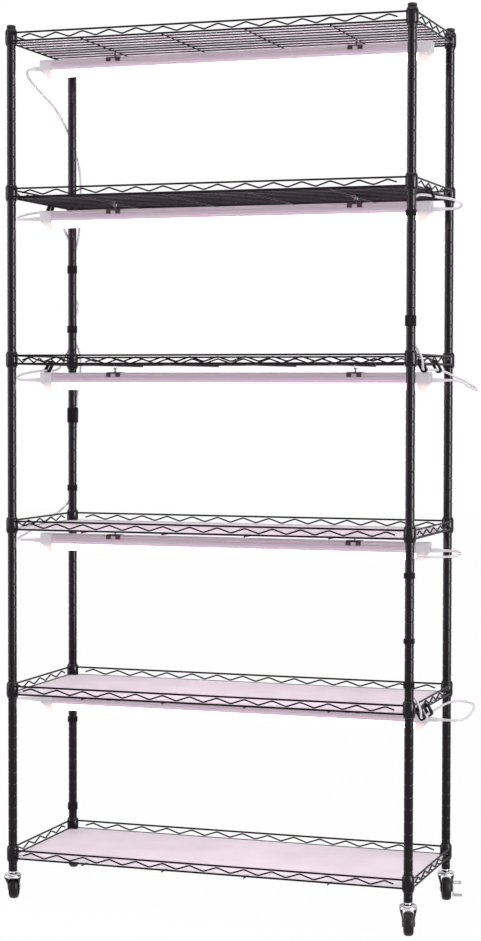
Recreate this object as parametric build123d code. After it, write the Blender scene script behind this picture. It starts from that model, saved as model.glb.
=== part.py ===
"""Plant stand with grow lights: six wire shelves on four round posts, five lights, four swivel casters.

Millimetres. X runs along the shelves, Y from front to back, Z up. The origin is on the floor, under the
middle of the stand. Shelf 1 is the top one and shelf 6 the lowest. A light hangs under each of shelves 1 to 5.
"""
import math
import os

from build123d import *

# Driving dimensions of the rack
post_spacing_x = 880.0
post_spacing_y = 330.0
post_diameter = 19.0
post_wall = 1.0
groove_pitch = 25.4
post_bottom_height = 64.0
lowest_shelf_above_post_end = 38.0
post_above_top_shelf = 22.0
shelf_steps = (69, 56, 42, 28, 14, 0)
overrun = 5.0
post_sides = 12
turned_sides = 8
wheel_sides = 16

# Collars, each with its two-part sleeve
collar_sides = 8
collar_diameter = 26.0
collar_height = 31.0
collar_end_diameter = 23.5
collar_taper_height = 3.5
collar_clearance = 0.1

# Shelf wires
rim_wire = 3.4
rim_outset = 9.0
rim_spacing = 17.5
truss_wire = 2.6
truss_pitch = 60.5
truss_stub_share = 0.6
front_apexes = 14
side_apexes = 5
deck_wire = 2.6
deck_wires = 10
support_wire = 3.0
support_spacing = 182.0
support_wires = 4
support_stand_out = 3.0
wire_sides = 4
truss_sides = 3

# Liners
liner_thickness = 1.0
liner_edge_clearance = 5.5
liner_collar_clearance = 1.5

# Post caps and caster sockets
cap_diameter = 19.6
cap_height = 4.5
cap_plug_length = 14.0
plug_clearance = 0.05
socket_length = 26.0
stem_diameter = 10.0
stem_clearance = 0.05
stem_length = 22.0

# Light fixture, as seen from its end
light_drop = 27.0
light_length = 884.0
end_cap_length = 28.0
body_width = 26.0
body_height = 16.0
body_top_width = 19.0
body_shoulder = 3.5
body_foot_width = 24.0
body_foot = 3.0
clip_groove_depth = 1.0
clip_groove_height = 1.8
clip_groove_below_top = 7.0
body_wall = 1.5
board_width = 20.0
board_thickness = 1.2
board_recess = 3.0
lens_height = 21.0
lens_side_height = 6.0
lens_wall = 1.2
lens_facets = 4
lens_seat_clearance = 0.1
cap_lip = 0.7
cap_lower_end_setback = 6.0
cap_lower_tip_setback = 17.0

# Cord connectors at the lights' ends
connector_length = 20.0
connector_width = 10.0
connector_height = 8.0
connector_nose = 5.0
connector_nose_height = 5.0
connector_clearance = 0.1
relief_length = 22.0
top_relief_length = 3.0
relief_root_diameter = 7.0
cord_diameter = 5.0
cord_sides = 3
cord_post_gap = 0.5
strand_gap = 2.0
cord_floor_gap = 0.1
neck_sides = 4

# Clips and hooks that carry the lights
clip_length = 33.0
clip_claw_length = 11.0
clip_thickness = 1.0
clip_clearance = 0.1
clip_leg_below_top = 9.5
clip_tab_width = 8.0
clip_tab_height = 9.0
clip_hole_diameter = 4.2
hook_wire = 2.0
hook_clearance = 0.1
hook_tip_length = 3.0

# Hook-and-loop wraps
wrap_thickness = 1.4
wrap_clearance = 0.4
wrap_sides = 6
strap_width = 7.0
loop_wraps_z_and_width = ((1378.0, 18.0), (1242.0, 16.0))
back_left_wraps_z_and_width = ((1046.0, 34.0), (880.0, 14.0))
mains_wraps_z_and_width = ((347.0, 12.0), (146.0, 16.0))
front_right_wraps_z_and_width = ((1462.0, 12.0), (1245.0, 22.0), (730.0, 12.0), (597.0, 10.0), (508.0, 14.0))
side_straps = (
    (1, 2, -62.0, 456.2, 1503.0),
    (1, 3, -118.0, 456.2, 1147.0),
    (1, 3, 7.0, 456.1, 1146.9),
    (1, 5, -118.0, 456.2, 435.8),
    (1, 5, -54.0, 456.1, 435.7),
    (-1, 2, 68.0, -454.8, 1501.0),
    (-1, 3, 60.0, -456.2, 1147.0),
)

# Casters
wheel_diameter = 50.0
wheel_width = 20.0
wheel_shoulder = 3.0
wheel_hub_width = 21.0
wheel_hub_diameter = 16.0
wheel_recess_diameter = 36.0
wheel_recess_depth = 3.0
caster_trail = 20.0
caster_turn = 17.0
pin_sides = 8
axle_diameter = 6.0
axle_clearance = 0.05
axle_head_diameter = 9.0
axle_head_height = 1.6
fork_thickness = 2.0
fork_side_clearance = 0.5
fork_cup_diameter = 37.0
fork_cup_top_height = 56.0
fork_cup_height = 5.0
fork_leg_tip_radius = 7.0
fork_leg_top_width = 17.0
fork_knee_height = 43.0
swivel_gap = 0.9
kingpin_diameter = 8.0
kingpin_clearance = 0.05
kingpin_head_diameter = 13.0
kingpin_head_height = 1.6
dome_diameter = 36.0
dome_edge_height = 2.0
dome_nut_diameter = 15.0
dome_nut_height = 2.5

# Brake lever
lever_thickness = 1.6
lever_clearance = 0.3
lever_boss_diameter = 15.0
lever_arm = 19.0
lever_arm_width = 9.0
lever_arm_tilt = 33.0
lever_tab_reach = 20.0
lever_pedal_end_share = 0.7
lever_window_share = 0.5

# Mains plug
plug_body_length = 34.0
plug_body_width = 26.0
plug_body_thickness = 16.0
plug_neck_length = 12.0
plug_blade_length = 16.0
plug_blade_width = 6.4
plug_blade_thickness = 1.5
plug_blade_spacing = 12.7

# Put-away coil of the mains lead
coil_turns_per_layer = 1
coil_radius = 32.0
coil_turn_pitch = 5.8
coil_layer_pitch = 5.8
coil_center = (-330.0, 290.0)
coil_end_run = 42.0

# Derived places
lowest_shelf_height = post_bottom_height + lowest_shelf_above_post_end
shelf_heights = [lowest_shelf_height + step * groove_pitch for step in shelf_steps]
post_top_height = shelf_heights[0] + post_above_top_shelf
corners = [(x, y) for y in (-post_spacing_y / 2, post_spacing_y / 2) for x in (-post_spacing_x / 2, post_spacing_x / 2)]
corner_names = ("front_left", "front_right", "back_left", "back_right")
rim_x = post_spacing_x / 2 + rim_outset
rim_y = post_spacing_y / 2 + rim_outset
lower_rim_z = -rim_spacing / 2
deck_bottom_z = lower_rim_z - rim_wire / 2
deck_z = deck_bottom_z + deck_wire / 2
support_z = deck_bottom_z - support_wire / 2
support_xs = [(i - (support_wires - 1) / 2) * support_spacing for i in range(support_wires)]
light_heights = [height - light_drop for height in shelf_heights[:-1]]
light_half = light_length / 2
connector_drop = body_height
exit_x = light_half + connector_length + relief_length
top_exit_x = light_half + connector_length + top_relief_length
connector_heights = [height - connector_drop for height in light_heights]


def save(name, *solids):
    """Write one piece, or a group of like pieces, under its name."""
    shape = solids[0] if len(solids) == 1 else Compound(children=list(solids))
    export_step(shape, f"parts/{name}.step")


def regular(size, sides):
    """A regular outline, sized across its flats, with flats at its top and bottom."""
    return RegularPolygon(size / 2, sides, major_radius=False, rotation=90 - 180 / sides)


def frustum(low, low_size, high, high_size, sides):
    """An upright many-sided prism that may narrow or widen evenly, drawn in from its wider end."""
    slope = math.degrees(math.atan2(abs(low_size - high_size) / 2, high - low))
    if low_size >= high_size:
        return extrude(Pos(0, 0, low) * regular(low_size, sides), high - low, taper=slope)
    return Pos(0, 0, high) * mirror(extrude(regular(high_size, sides), high - low, taper=slope), Plane.XY)


def turned(*levels, sides=turned_sides):
    """A many-sided turned body about Z, stacked from (bottom height, its size, top height, its size)."""
    first, *rest = [frustum(*level, sides) for level in levels]
    return first + rest if rest else first


def wire_x(length, size):
    """A straight wire along X with flats on top and underneath."""
    return extrude(Plane.YZ * regular(size, wire_sides), length / 2, both=True)


def wire_y(length, size):
    """A straight wire along Y with flats on top and underneath."""
    return extrude(Plane.XZ * regular(size, wire_sides), length / 2, both=True)


# Posts
def make_post():
    """A tube, open at both ends."""
    bore = post_diameter - 2 * post_wall
    tube = frustum(post_bottom_height, post_diameter, post_top_height, post_diameter, post_sides)
    return tube - frustum(post_bottom_height, bore, post_top_height, bore, post_sides)


def make_post_cap():
    """A plug in the post's top end with a rounded head."""
    plug = (post_diameter - 2 * post_wall - 2 * plug_clearance) * math.cos(math.pi / turned_sides)
    edge = cap_height / 2
    return Pos(0, 0, post_top_height) * turned(
        (-cap_plug_length, plug, 0, plug),
        (0, cap_diameter, edge, cap_diameter),
        (edge, cap_diameter, cap_height, cap_diameter - 2 * edge),
    )


def make_caster_socket():
    """A bush in the post's bottom end that takes the caster's stem."""
    outer = (post_diameter - 2 * post_wall - 2 * plug_clearance) * math.cos(math.pi / turned_sides)
    inner = stem_diameter + 2 * stem_clearance
    bush = turned((0, outer, socket_length, outer)) - turned((0, inner, socket_length, inner))
    return Pos(0, 0, post_bottom_height) * bush


# Shelves
def collar_envelope():
    """The collar's outer shape, with its tapered ends."""
    half = collar_height / 2
    shoulder = half - collar_taper_height
    return turned(
        (-half, collar_end_diameter, -shoulder, collar_diameter),
        (-shoulder, collar_diameter, shoulder, collar_diameter),
        (shoulder, collar_diameter, half, collar_end_diameter),
        sides=collar_sides,
    )


def make_collar():
    """A welded corner collar, bored to take the post with its sleeve."""
    half = collar_height / 2
    bore = post_diameter / math.cos(math.pi / post_sides) + 2 * collar_clearance
    return collar_envelope() - frustum(-half, bore, half, bore, collar_sides)


def zigzag(apexes, wire, pitch, rise):
    """A wire bent to and fro in the XZ plane, with a cut-off stub at each end."""
    points = []
    for i in range(apexes):
        x = (i - (apexes - 1) / 2) * pitch
        points.append((x, 0, rise / 2))
        if i < apexes - 1:
            points.append((x + pitch / 2, 0, -rise / 2))
    first, last = points[0], points[-1]
    stub_x = truss_stub_share * pitch / 2
    stub_z = rise / 2 - truss_stub_share * rise
    points = [(first[0] - stub_x, 0, stub_z), *points, (last[0] + stub_x, 0, stub_z)]
    path = Polyline(*points)
    start = Plane(origin=path @ 0, z_dir=path % 0, x_dir=(0, 1, 0))
    return sweep(start * RegularPolygon(wire / 2, truss_sides), path=path, transition=Transition.RIGHT)


def make_shelf():
    """Collars, double rims, zigzag trusses, support wires and deck wires of one shelf, about its own level."""
    envelopes = [Pos(x, y, 0) * collar_envelope() for x, y in corners]
    collars = [Pos(x, y, 0) * make_collar() for x, y in corners]
    rims = []
    for z in (-rim_spacing / 2, rim_spacing / 2):
        for side in (-1, 1):
            along_x = Pos(0, side * rim_y, z) * wire_x(post_spacing_x, rim_wire)
            along_y = Pos(side * rim_x, 0, z) * wire_y(post_spacing_y, rim_wire)
            for rim in (along_x, along_y):
                for envelope in envelopes:
                    rim = rim - envelope
                rims.append(rim)
    slope = math.atan2(rim_spacing - rim_wire, truss_pitch / 2)
    rise = rim_spacing - rim_wire - truss_wire / math.cos(slope)
    front = zigzag(front_apexes, truss_wire, truss_pitch, rise)
    flank = Rot(0, 0, 90) * zigzag(side_apexes, truss_wire, truss_pitch, rise)
    trusses = [Pos(0, side * rim_y, 0) * front for side in (-1, 1)]
    trusses += [Pos(side * rim_x, 0, 0) * flank for side in (-1, 1)]
    support = wire_y(2 * (rim_y + rim_wire / 2 + support_stand_out), support_wire)
    supports = [Pos(x, 0, support_z) * support for x in support_xs]
    deck_line = wire_x(2 * rim_x - rim_wire, deck_wire)
    spacing = 2 * rim_y / (deck_wires + 1)
    deck = [Pos(0, (i - (deck_wires - 1) / 2) * spacing, deck_z) * deck_line for i in range(deck_wires)]
    return collars + rims + trusses + supports + deck


def make_liner():
    """A thin sheet on the deck wires, notched at the four collars."""
    half_x = rim_x - rim_wire / 2 - liner_edge_clearance
    half_y = rim_y - rim_wire / 2 - liner_edge_clearance
    notch_x = half_x - post_spacing_x / 2 + collar_diameter / 2 + liner_collar_clearance
    notch_y = half_y - post_spacing_y / 2 + collar_diameter / 2 + liner_collar_clearance
    sheet = Rectangle(2 * half_x, 2 * half_y)
    for x in (-half_x, half_x):
        for y in (-half_y, half_y):
            sheet -= Pos(x, y) * Rectangle(2 * notch_x, 2 * notch_y)
    return Pos(0, 0, deck_bottom_z + deck_wire) * extrude(sheet, liner_thickness)


# Lights
def mirrored_outline(points):
    """A closed outline in the YZ plane from the points of its +Y half, listed from top to bottom."""
    other = [(-y, z) for y, z in reversed(points) if y > 0]
    return Plane.YZ * make_face(Polyline(*points, *other, close=True))


def housing_outline():
    """The extruded body with its clip grooves, about the middle of its top face."""
    half = body_width / 2
    groove = -clip_groove_below_top
    return mirrored_outline(
        [
            (body_top_width / 2, 0),
            (half, -body_shoulder),
            (half, groove),
            (half - clip_groove_depth, groove - clip_groove_depth / 2),
            (half - clip_groove_depth, groove - clip_groove_height),
            (half, groove - clip_groove_height - clip_groove_depth / 2),
            (half, -body_height + body_foot),
            (body_foot_width / 2, -body_height),
        ]
    )


def lens_outline(inset):
    """The deep rounded diffuser, hanging from the body's underside."""
    half = body_foot_width / 2 - inset
    depth = lens_height - lens_side_height - inset
    side = -body_height - lens_side_height
    bowl = []
    for i in range(lens_facets):
        angle = math.pi / 2 * i / lens_facets
        bowl.append((half * math.cos(angle), side - depth * math.sin(angle)))
    return mirrored_outline([(half, -body_height), *bowl, (0, side - depth)])


def make_housing():
    """An extruded channel, open underneath, that carries the board and the lens."""
    length = light_length - 2 * end_cap_length
    body = extrude(housing_outline(), length / 2, both=True)
    channel_height = body_height - body_wall
    channel_width = body_top_width - 2 * body_wall
    channel = Pos(0, 0, -body_height + channel_height / 2 - overrun / 2) * Box(
        length, channel_width, channel_height + overrun
    )
    seat_height = board_recess + overrun
    seat = Pos(0, 0, -body_height + board_recess - seat_height / 2) * Box(
        length, board_width + 2 * lens_seat_clearance, seat_height
    )
    return body - channel - seat


def make_board():
    """The strip of circuit board that carries the lamps, in the body's seat."""
    length = light_length - 2 * end_cap_length - 2 * board_recess
    return Pos(0, 0, -body_height + board_recess - board_thickness / 2) * Box(length, board_width, board_thickness)


def make_lens():
    """A thin shell below the body, open at the top."""
    length = light_length - 2 * end_cap_length
    outer = extrude(lens_outline(0), length / 2, both=True)
    return outer - extrude(lens_outline(lens_wall), length / 2, both=True)


def make_end_cap():
    """The cap at the +X end, with a slanted lower part and a socket for the connector."""
    half = body_width / 2 + cap_lip
    foot = body_foot_width / 2 + cap_lip
    low = -body_height - lens_height - cap_lip
    side = -body_height - lens_side_height
    block = extrude(
        mirrored_outline(
            [
                (body_top_width / 2 + cap_lip, cap_lip),
                (half, -body_shoulder),
                (half, -body_height + body_foot),
                (foot, side),
                (foot / 2, low + lens_side_height / 2),
                (foot / 4, low),
            ]
        ),
        end_cap_length,
    )
    cut = Plane.XZ * make_face(
        Polyline(
            (end_cap_length - cap_lower_end_setback, -body_height - connector_height / 2),
            (end_cap_length - cap_lower_tip_setback, low - overrun),
            (end_cap_length + overrun, low - overrun),
            (end_cap_length + overrun, -body_height - connector_height / 2),
            close=True,
        )
    )
    socket = Pos(end_cap_length - connector_nose / 2, 0, -connector_drop) * Box(
        connector_nose, connector_width, connector_nose_height
    )
    cap = block - extrude(cut, body_width, both=True) - socket
    return Pos(light_half - end_cap_length, 0, 0) * cap


def make_connector(relief):
    """A cord's plug for the +X end: nose, body and tapered strain relief."""
    nose = Box(
        connector_nose - connector_clearance,
        connector_width - 2 * connector_clearance,
        connector_nose_height - 2 * connector_clearance,
        align=(Align.MAX, Align.CENTER, Align.CENTER),
    )
    body = Box(
        connector_length, connector_width, connector_height, align=(Align.MIN, Align.CENTER, Align.CENTER)
    )
    sleeve = frustum(connector_length, relief_root_diameter, connector_length + relief, cord_diameter, neck_sides)
    return Pos(light_half, 0, -connector_drop) * (body + nose + Rot(0, 90, 0) * sleeve)


def make_clip():
    """A spring clip over the body, with two claws a side and a pierced tab for the hook."""
    grip = body_width / 2 + clip_clearance
    outer = grip + clip_thickness
    shoulder = body_top_width / 2 + clip_clearance
    top = clip_clearance
    low = -clip_leg_below_top
    bend = -body_shoulder + clip_thickness
    outline = Plane.YZ * make_face(
        Polyline(
            (-outer, low),
            (-outer, bend),
            (-shoulder, top + clip_thickness),
            (shoulder, top + clip_thickness),
            (outer, bend),
            (outer, low),
            (grip, low),
            (grip, -body_shoulder),
            (shoulder, top),
            (-shoulder, top),
            (-grip, -body_shoulder),
            (-grip, low),
            close=True,
        )
    )
    band = extrude(outline, clip_length / 2, both=True)
    window_height = clip_leg_below_top + overrun
    window = Pos(0, 0, -body_shoulder / 2 - window_height / 2) * Box(
        clip_length - 2 * clip_claw_length, 2 * outer + overrun, window_height
    )
    tab = Pos(0, 0, top + clip_thickness) * Box(
        clip_thickness, clip_tab_width, clip_tab_height, align=(Align.CENTER, Align.CENTER, Align.MIN)
    )
    hole_z = top + clip_thickness + clip_tab_height - clip_hole_diameter
    hole = extrude(Plane.YZ * regular(clip_hole_diameter, wire_sides), clip_thickness, both=True)
    return band - window + tab - Pos(0, 0, hole_z) * hole


hook_ring = support_wire / 2 + hook_clearance + hook_wire / 2
hook_tab_x = 2 * hook_ring


def hook_points():
    """Centre line of the bent hook: over the support wire, down, and under the clip's tab."""
    ring = hook_ring
    hole_top = 2 * clip_clearance + clip_thickness + clip_tab_height - clip_hole_diameter / 2 - light_drop
    bowl_z = hole_top - hook_wire / 2 - hook_clearance
    return [
        (-ring, support_z - hook_tip_length),
        (-ring, support_z + ring),
        (ring, support_z + ring),
        (ring, bowl_z),
        (3 * ring, bowl_z),
        (3 * ring, bowl_z + ring + hook_tip_length),
    ]


def make_hook():
    """An S hook of square-edged wire, about the shelf's level at its support wire."""
    path = Polyline(*[(x, 0, z) for x, z in hook_points()])
    start = Plane(origin=path @ 0, z_dir=path % 0, x_dir=(0, 1, 0))
    return sweep(start * Rectangle(hook_wire, hook_wire), path=path, transition=Transition.RIGHT)


# Cords
def tube(name, points):
    """A cord along straight runs joined by tangent arcs, with its bend radii and volume printed."""
    radii = []
    for before, here, after in zip(points, points[1:], points[2:]):
        run_in = Vector(*here) - Vector(*before)
        run_out = Vector(*after) - Vector(*here)
        turn = math.radians(run_in.get_angle(run_out))
        radii.append(0.45 * min(run_in.length, run_out.length) / math.tan(turn / 2))
    path = FilletPolyline(*points, radius=radii)
    start = Plane(origin=path @ 0, z_dir=path % 0)
    section = RegularPolygon(cord_diameter / 2, cord_sides)
    solid = sweep(start * section, path=path)
    straight_volume = section.area * path.length
    smallest = ", ".join(f"{radius:.0f}" for radius in sorted(radii)[:6])
    print(f"{name}: length {path.length:.0f}, smallest radii {smallest}, volume ratio {solid.volume / straight_volume:.4f}")
    return solid


cord_beside_post = post_diameter / 2 + cord_diameter / 2 + cord_post_gap
cord_past_collar = cord_beside_post + cord_diameter + strand_gap
cord_on_floor = cord_diameter / 2 + cord_floor_gap
back_bearing = 108.7


def beside(corner, bearing, distance, z):
    """A point at a distance from a post's centre line, in the direction of a bearing from +X."""
    angle = math.radians(bearing)
    return (corner[0] + distance * math.cos(angle), corner[1] + distance * math.sin(angle), z)


front_right, back_left = corners[1], corners[2]
inner_strand = beside(back_left, back_bearing, cord_beside_post, 0)


def loop_behind_post(lean, places):
    """Points of a loop that leans out behind the back left post, from (distance, height)."""
    angle = math.radians(lean)
    points = []
    for distance, z in places:
        out = distance - cord_beside_post
        points.append((inner_strand[0] + out * math.cos(angle), inner_strand[1] + out * math.sin(angle), z))
    return points


def left_exit(level, reach=exit_x):
    return (-reach, 0.0, connector_heights[level - 1])


def right_exit(level):
    return (exit_x, 0.0, connector_heights[level - 1])


def off_exit(level, *steps):
    """Points given by their distance beyond a light's connectors, their depth and their rise from its exit."""
    return [(math.copysign(exit_x + abs(x), x), y, connector_heights[level - 1] + z) for x, y, z in steps]


def past_right_corner(height):
    """The way round a shelf's right front collar, from behind the post to under the side rim."""
    steps = [
        (445.5, -150.5, 26.0),
        (454.0, -149.0, 13.0),
        (460.0, -148.0, -2.0),
        (459.5, -143.0, -15.0),
        (457.0, -131.0, -21.0),
        (456.0, -115.0, -21.8),
    ]
    top = beside(front_right, 90, cord_beside_post, height + 40.0)
    return [top] + [(x, y, height + z) for x, y, z in steps]


outer_strand_1_2 = loop_behind_post(120.0, [(cord_past_collar, 0)])[0]
outer_strand_3_4 = loop_behind_post(95.0, [(cord_past_collar, 0)])[0]

link_1_2_route = [
    left_exit(1, top_exit_x),
    (-475.0, 0.0, connector_heights[0]),
    (-483.0, 9.0, 1806.0),
    (-486.0, 26.0, 1796.0),
    (-482.0, 54.0, 1781.0),
    (-474.0, 92.0, 1761.0),
    (-465.0, 130.0, 1740.0),
    (-458.0, 165.0, 1706.0),
    (-443.0, 186.0, 1656.0),
    (-430.0, 189.5, 1600.0),
    (-429.0, 190.0, 1540.0),
    (-431.0, 189.0, 1480.0),
    (-437.5, 187.0, 1432.0),
    (outer_strand_1_2[0], outer_strand_1_2[1], 1399.0),
    *loop_behind_post(
        120.0,
        [
            (cord_past_collar, 1364.0),
            (32.0, 1348.0),
            (50.0, 1336.0),
            (49.0, 1315.0),
            (29.0, 1306.5),
            (13.5, 1322.0),
        ],
    ),
    (inner_strand[0], inner_strand[1], 1345.0),
    (inner_strand[0], inner_strand[1], 1428.0),
    (-454.5, 172.5, 1452.0),
    (-458.0, 152.0, 1476.0),
    (-456.5, 126.0, 1493.0),
    (-454.8, 94.0, 1501.0),
    (-455.0, 58.0, 1501.0),
    (-466.0, 38.0, 1499.5),
    (-489.0, 31.0, 1495.5),
    *off_exit(2, (-19.5, 22.0, 9.0), (-24.0, 11.0, 4.5), (-18.0, 2.5, 0.8), (-8.5, 0.0, 0.0)),
    left_exit(2),
]
link_2_3_route = [
    right_exit(2),
    *off_exit(2, (10.0, 0.0, 0.0), (20.0, -3.5, 2.5), (25.5, -13.0, 7.0), (20.5, -23.0, 12.5), (8.0, -29.0, 17.0)),
    (477.0, -33.5, 1501.0),
    (463.0, -41.0, 1502.5),
    (456.5, -54.0, 1503.0),
    (456.0, -71.0, 1503.0),
    (455.0, -93.0, 1502.8),
    (452.0, -115.0, 1501.5),
    (447.0, -134.0, 1500.0),
    (442.0, -147.0, 1494.0),
    beside(front_right, 90, cord_beside_post, 1480.0),
    *past_right_corner(shelf_heights[2]),
    (456.2, -85.0, 1146.6),
    (456.0, -52.0, 1146.8),
    (456.3, -18.0, 1147.0),
    (456.0, 20.0, 1146.8),
    (458.5, 47.0, 1144.5),
    (467.0, 70.0, 1138.5),
    (483.0, 84.0, 1129.5),
    (503.0, 86.0, 1119.5),
    (520.0, 75.0, 1110.0),
    (529.0, 57.0, 1105.0),
    (528.0, 36.0, 1106.0),
    (519.0, 17.0, 1113.0),
    *off_exit(3, (23.0, 5.0, -3.5), (11.0, 0.0, 0.0)),
    right_exit(3),
]
link_3_4_route = [
    left_exit(3),
    *off_exit(3, (-9.0, 0.0, 0.0), (-19.0, 3.5, 2.5), (-25.0, 12.5, 7.0), (-20.5, 22.5, 12.0), (-8.0, 29.0, 16.0)),
    (-477.0, 33.0, 1144.5),
    (-463.5, 39.5, 1146.5),
    (-456.5, 51.0, 1147.0),
    (-456.0, 69.0, 1147.0),
    (-456.3, 98.0, 1147.4),
    (-457.0, 126.0, 1151.0),
    (-459.5, 145.0, 1159.0),
    (-460.5, 161.0, 1172.0),
    (-457.5, 173.5, 1188.0),
    (-450.5, 180.0, 1205.0),
    (inner_strand[0], inner_strand[1], 1222.0),
    *loop_behind_post(
        95.0,
        [
            (cord_beside_post, 1275.0),
            (13.5, 1298.0),
            (29.0, 1313.0),
            (49.0, 1305.0),
            (50.0, 1284.0),
            (32.0, 1272.0),
            (cord_past_collar, 1256.0),
        ],
    ),
    (outer_strand_3_4[0], outer_strand_3_4[1], 1226.0),
    (-438.0, 187.0, 1206.0),
    (-431.5, 188.5, 1186.0),
    (-429.0, 189.0, 1164.0),
    (-430.5, 188.0, 1141.0),
    (-435.0, 184.5, 1117.0),
    (-440.0, 180.0, 1095.0),
    (inner_strand[0], inner_strand[1], 1075.0),
    (inner_strand[0], inner_strand[1], 866.0),
    (-452.5, 174.5, 849.0),
    (-458.0, 162.0, 837.0),
    (-465.0, 145.0, 826.0),
    (-473.0, 122.0, 815.0),
    (-483.0, 96.0, 803.0),
    (-494.0, 70.0, 791.0),
    (-504.0, 45.0, 780.0),
    *off_exit(4, (-25.0, 23.0, 3.0), (-21.0, 7.0, 0.8), (-11.0, 0.0, 0.0)),
    left_exit(4),
]
link_4_5_route = [
    right_exit(4),
    *off_exit(4, (10.0, 0.0, 0.0), (20.5, -3.5, -1.5), (27.0, -13.0, -4.5), (23.5, -25.0, -7.5), (11.0, -35.0, -9.5)),
    (479.0, -43.5, 760.0),
    (465.0, -56.0, 760.5),
    (456.5, -74.0, 761.5),
    (452.5, -96.0, 763.0),
    (448.5, -118.0, 764.0),
    (444.0, -136.5, 762.0),
    (441.0, -148.5, 755.0),
    beside(front_right, 90, cord_beside_post, 742.0),
    *past_right_corner(shelf_heights[4]),
    (456.2, -80.0, 435.6),
    (456.0, -40.0, 435.8),
    (456.3, 0.0, 436.0),
    (456.0, 40.0, 436.3),
    (457.0, 78.0, 436.8),
    (462.0, 108.0, 437.5),
    (474.0, 129.0, 437.5),
    (491.0, 136.0, 436.0),
    (506.0, 128.0, 433.5),
    (514.0, 109.0, 430.0),
    (517.0, 84.0, 426.0),
    (517.5, 58.0, 421.5),
    (516.0, 34.0, 417.5),
    *off_exit(5, (27.5, 15.0, 1.0), (21.0, 3.5, 0.2), (10.5, 0.0, 0.0)),
    right_exit(5),
]
mains_strand = beside(back_left, back_bearing, cord_past_collar, 0)
power_cord_route = [
    left_exit(5),
    *off_exit(5, (-10.0, 0.0, 0.0), (-20.5, 3.5, -0.8), (-26.5, 14.0, -2.5), (-25.5, 31.0, -4.5)),
    (-503.0, 53.0, 408.0),
    (-494.0, 77.0, 406.0),
    (-483.0, 101.0, 404.0),
    (-472.0, 124.0, 401.5),
    (-463.0, 145.0, 397.0),
    (-459.0, 163.0, 389.0),
    (-454.0, 177.0, 377.5),
    (mains_strand[0], mains_strand[1], 363.0),
    (mains_strand[0], mains_strand[1], 120.0),
    (-448.0, 190.0, 102.0),
    (-450.0, 202.0, 86.5),
    (-452.0, 216.0, 72.0),
    (-452.5, 230.0, 57.5),
    (-450.5, 243.0, 43.0),
    (-445.0, 253.5, 29.0),
    (-434.0, 259.5, 17.0),
    (-418.0, 261.0, 9.0),
    (-400.0, 260.0, 4.8),
    (-381.0, 259.0, cord_on_floor + 0.2),
    (-362.0, coil_center[1] - coil_radius, cord_on_floor),
    (coil_center[0] - cord_diameter, coil_center[1] - coil_radius, cord_on_floor),
]


def coil_nodes():
    """Points and directions of the coil a quarter turn apart: in along the floor, up a layer, and out again."""
    nodes = []
    quarters = int(4 * coil_turns_per_layer)
    step = coil_turn_pitch / 4
    for k in range(2 * quarters + 1):
        inward = min(k, 2 * quarters - k)
        radius = coil_radius - step * inward
        rising = min(max((k - (quarters - 1)) / 2, 0), 1)
        angle = math.radians(90 * (k - 1))
        drift = 0 if k in (0, quarters, 2 * quarters) else math.copysign(step / (math.pi / 2), k - quarters)
        climb = coil_layer_pitch / math.pi if k == quarters else 0
        point = Vector(
            coil_center[0] + radius * math.cos(angle),
            coil_center[1] + radius * math.sin(angle),
            cord_on_floor + rising * coil_layer_pitch,
        )
        direction = Vector(
            drift * math.cos(angle) - radius * math.sin(angle),
            drift * math.sin(angle) + radius * math.cos(angle),
            climb,
        )
        nodes.append((point, direction.normalized()))
    return nodes


def biarc(start, leaving, end, arriving):
    """Two arcs that meet smoothly, from one point and direction to the next."""
    span = end - start
    both = leaving + arriving
    spread = 2 * (1 - leaving.dot(arriving))
    reach = (math.sqrt(span.dot(both) ** 2 + spread * span.dot(span)) - span.dot(both)) / spread
    middle = (start + end + (leaving - arriving) * reach) * 0.5
    first = TangentArc(start, middle, tangent=leaving)
    return [first, TangentArc(middle, end, tangent=first % 1)]


def make_coil():
    """The put-away length of the mains lead: one unbroken tube in two layers, with straight ends."""
    nodes = coil_nodes()
    first, last = nodes[0][0], nodes[-1][0]
    edges = [Line(first - nodes[0][1] * cord_diameter, first)]
    for (start, leaving), (end, arriving) in zip(nodes, nodes[1:]):
        edges += biarc(start, leaving, end, arriving)
    edges.append(Line(last, last + nodes[-1][1] * coil_end_run))
    path = Wire(edges)
    begin = Plane(origin=path @ 0, z_dir=nodes[0][1], x_dir=(0, 0, 1))
    section = RegularPolygon(cord_diameter / 2, cord_sides)
    solid = sweep(begin * section, path=path)
    count = 500
    samples = [path @ (i / count) for i in range(count + 1)]
    apart = int(3 * cord_diameter * count / path.length)
    gap = min(
        (samples[i] - samples[j]).length for i in range(count + 1) for j in range(i + apart, count + 1)
    )
    ratio = solid.volume / (section.area * path.length)
    print(f"power_cord_coil: length {path.length:.0f}, gap {gap - cord_diameter:.2f}, volume ratio {ratio:.4f}")
    return solid


def make_plug():
    """A two-blade mains plug lying flat, with its neck towards -X."""
    body = Box(
        plug_body_length, plug_body_width, plug_body_thickness, align=(Align.MIN, Align.CENTER, Align.CENTER)
    )
    body = chamfer(body.edges().filter_by(Axis.X), plug_body_thickness / 4)
    neck = Rot(0, 90, 0) * frustum(-plug_neck_length, cord_diameter, 0, plug_body_thickness / 2, neck_sides)
    blade = Box(
        plug_blade_length, plug_blade_thickness, plug_blade_width, align=(Align.MIN, Align.CENTER, Align.CENTER)
    )
    blades = [Pos(plug_body_length, side * plug_blade_spacing / 2, 0) * blade for side in (-1, 1)]
    place = (
        coil_center[0] + coil_end_run + plug_neck_length,
        coil_center[1] - coil_radius,
        cord_on_floor + coil_layer_pitch,
    )
    return Pos(*place) * (body + neck + blades[0] + blades[1])


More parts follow.
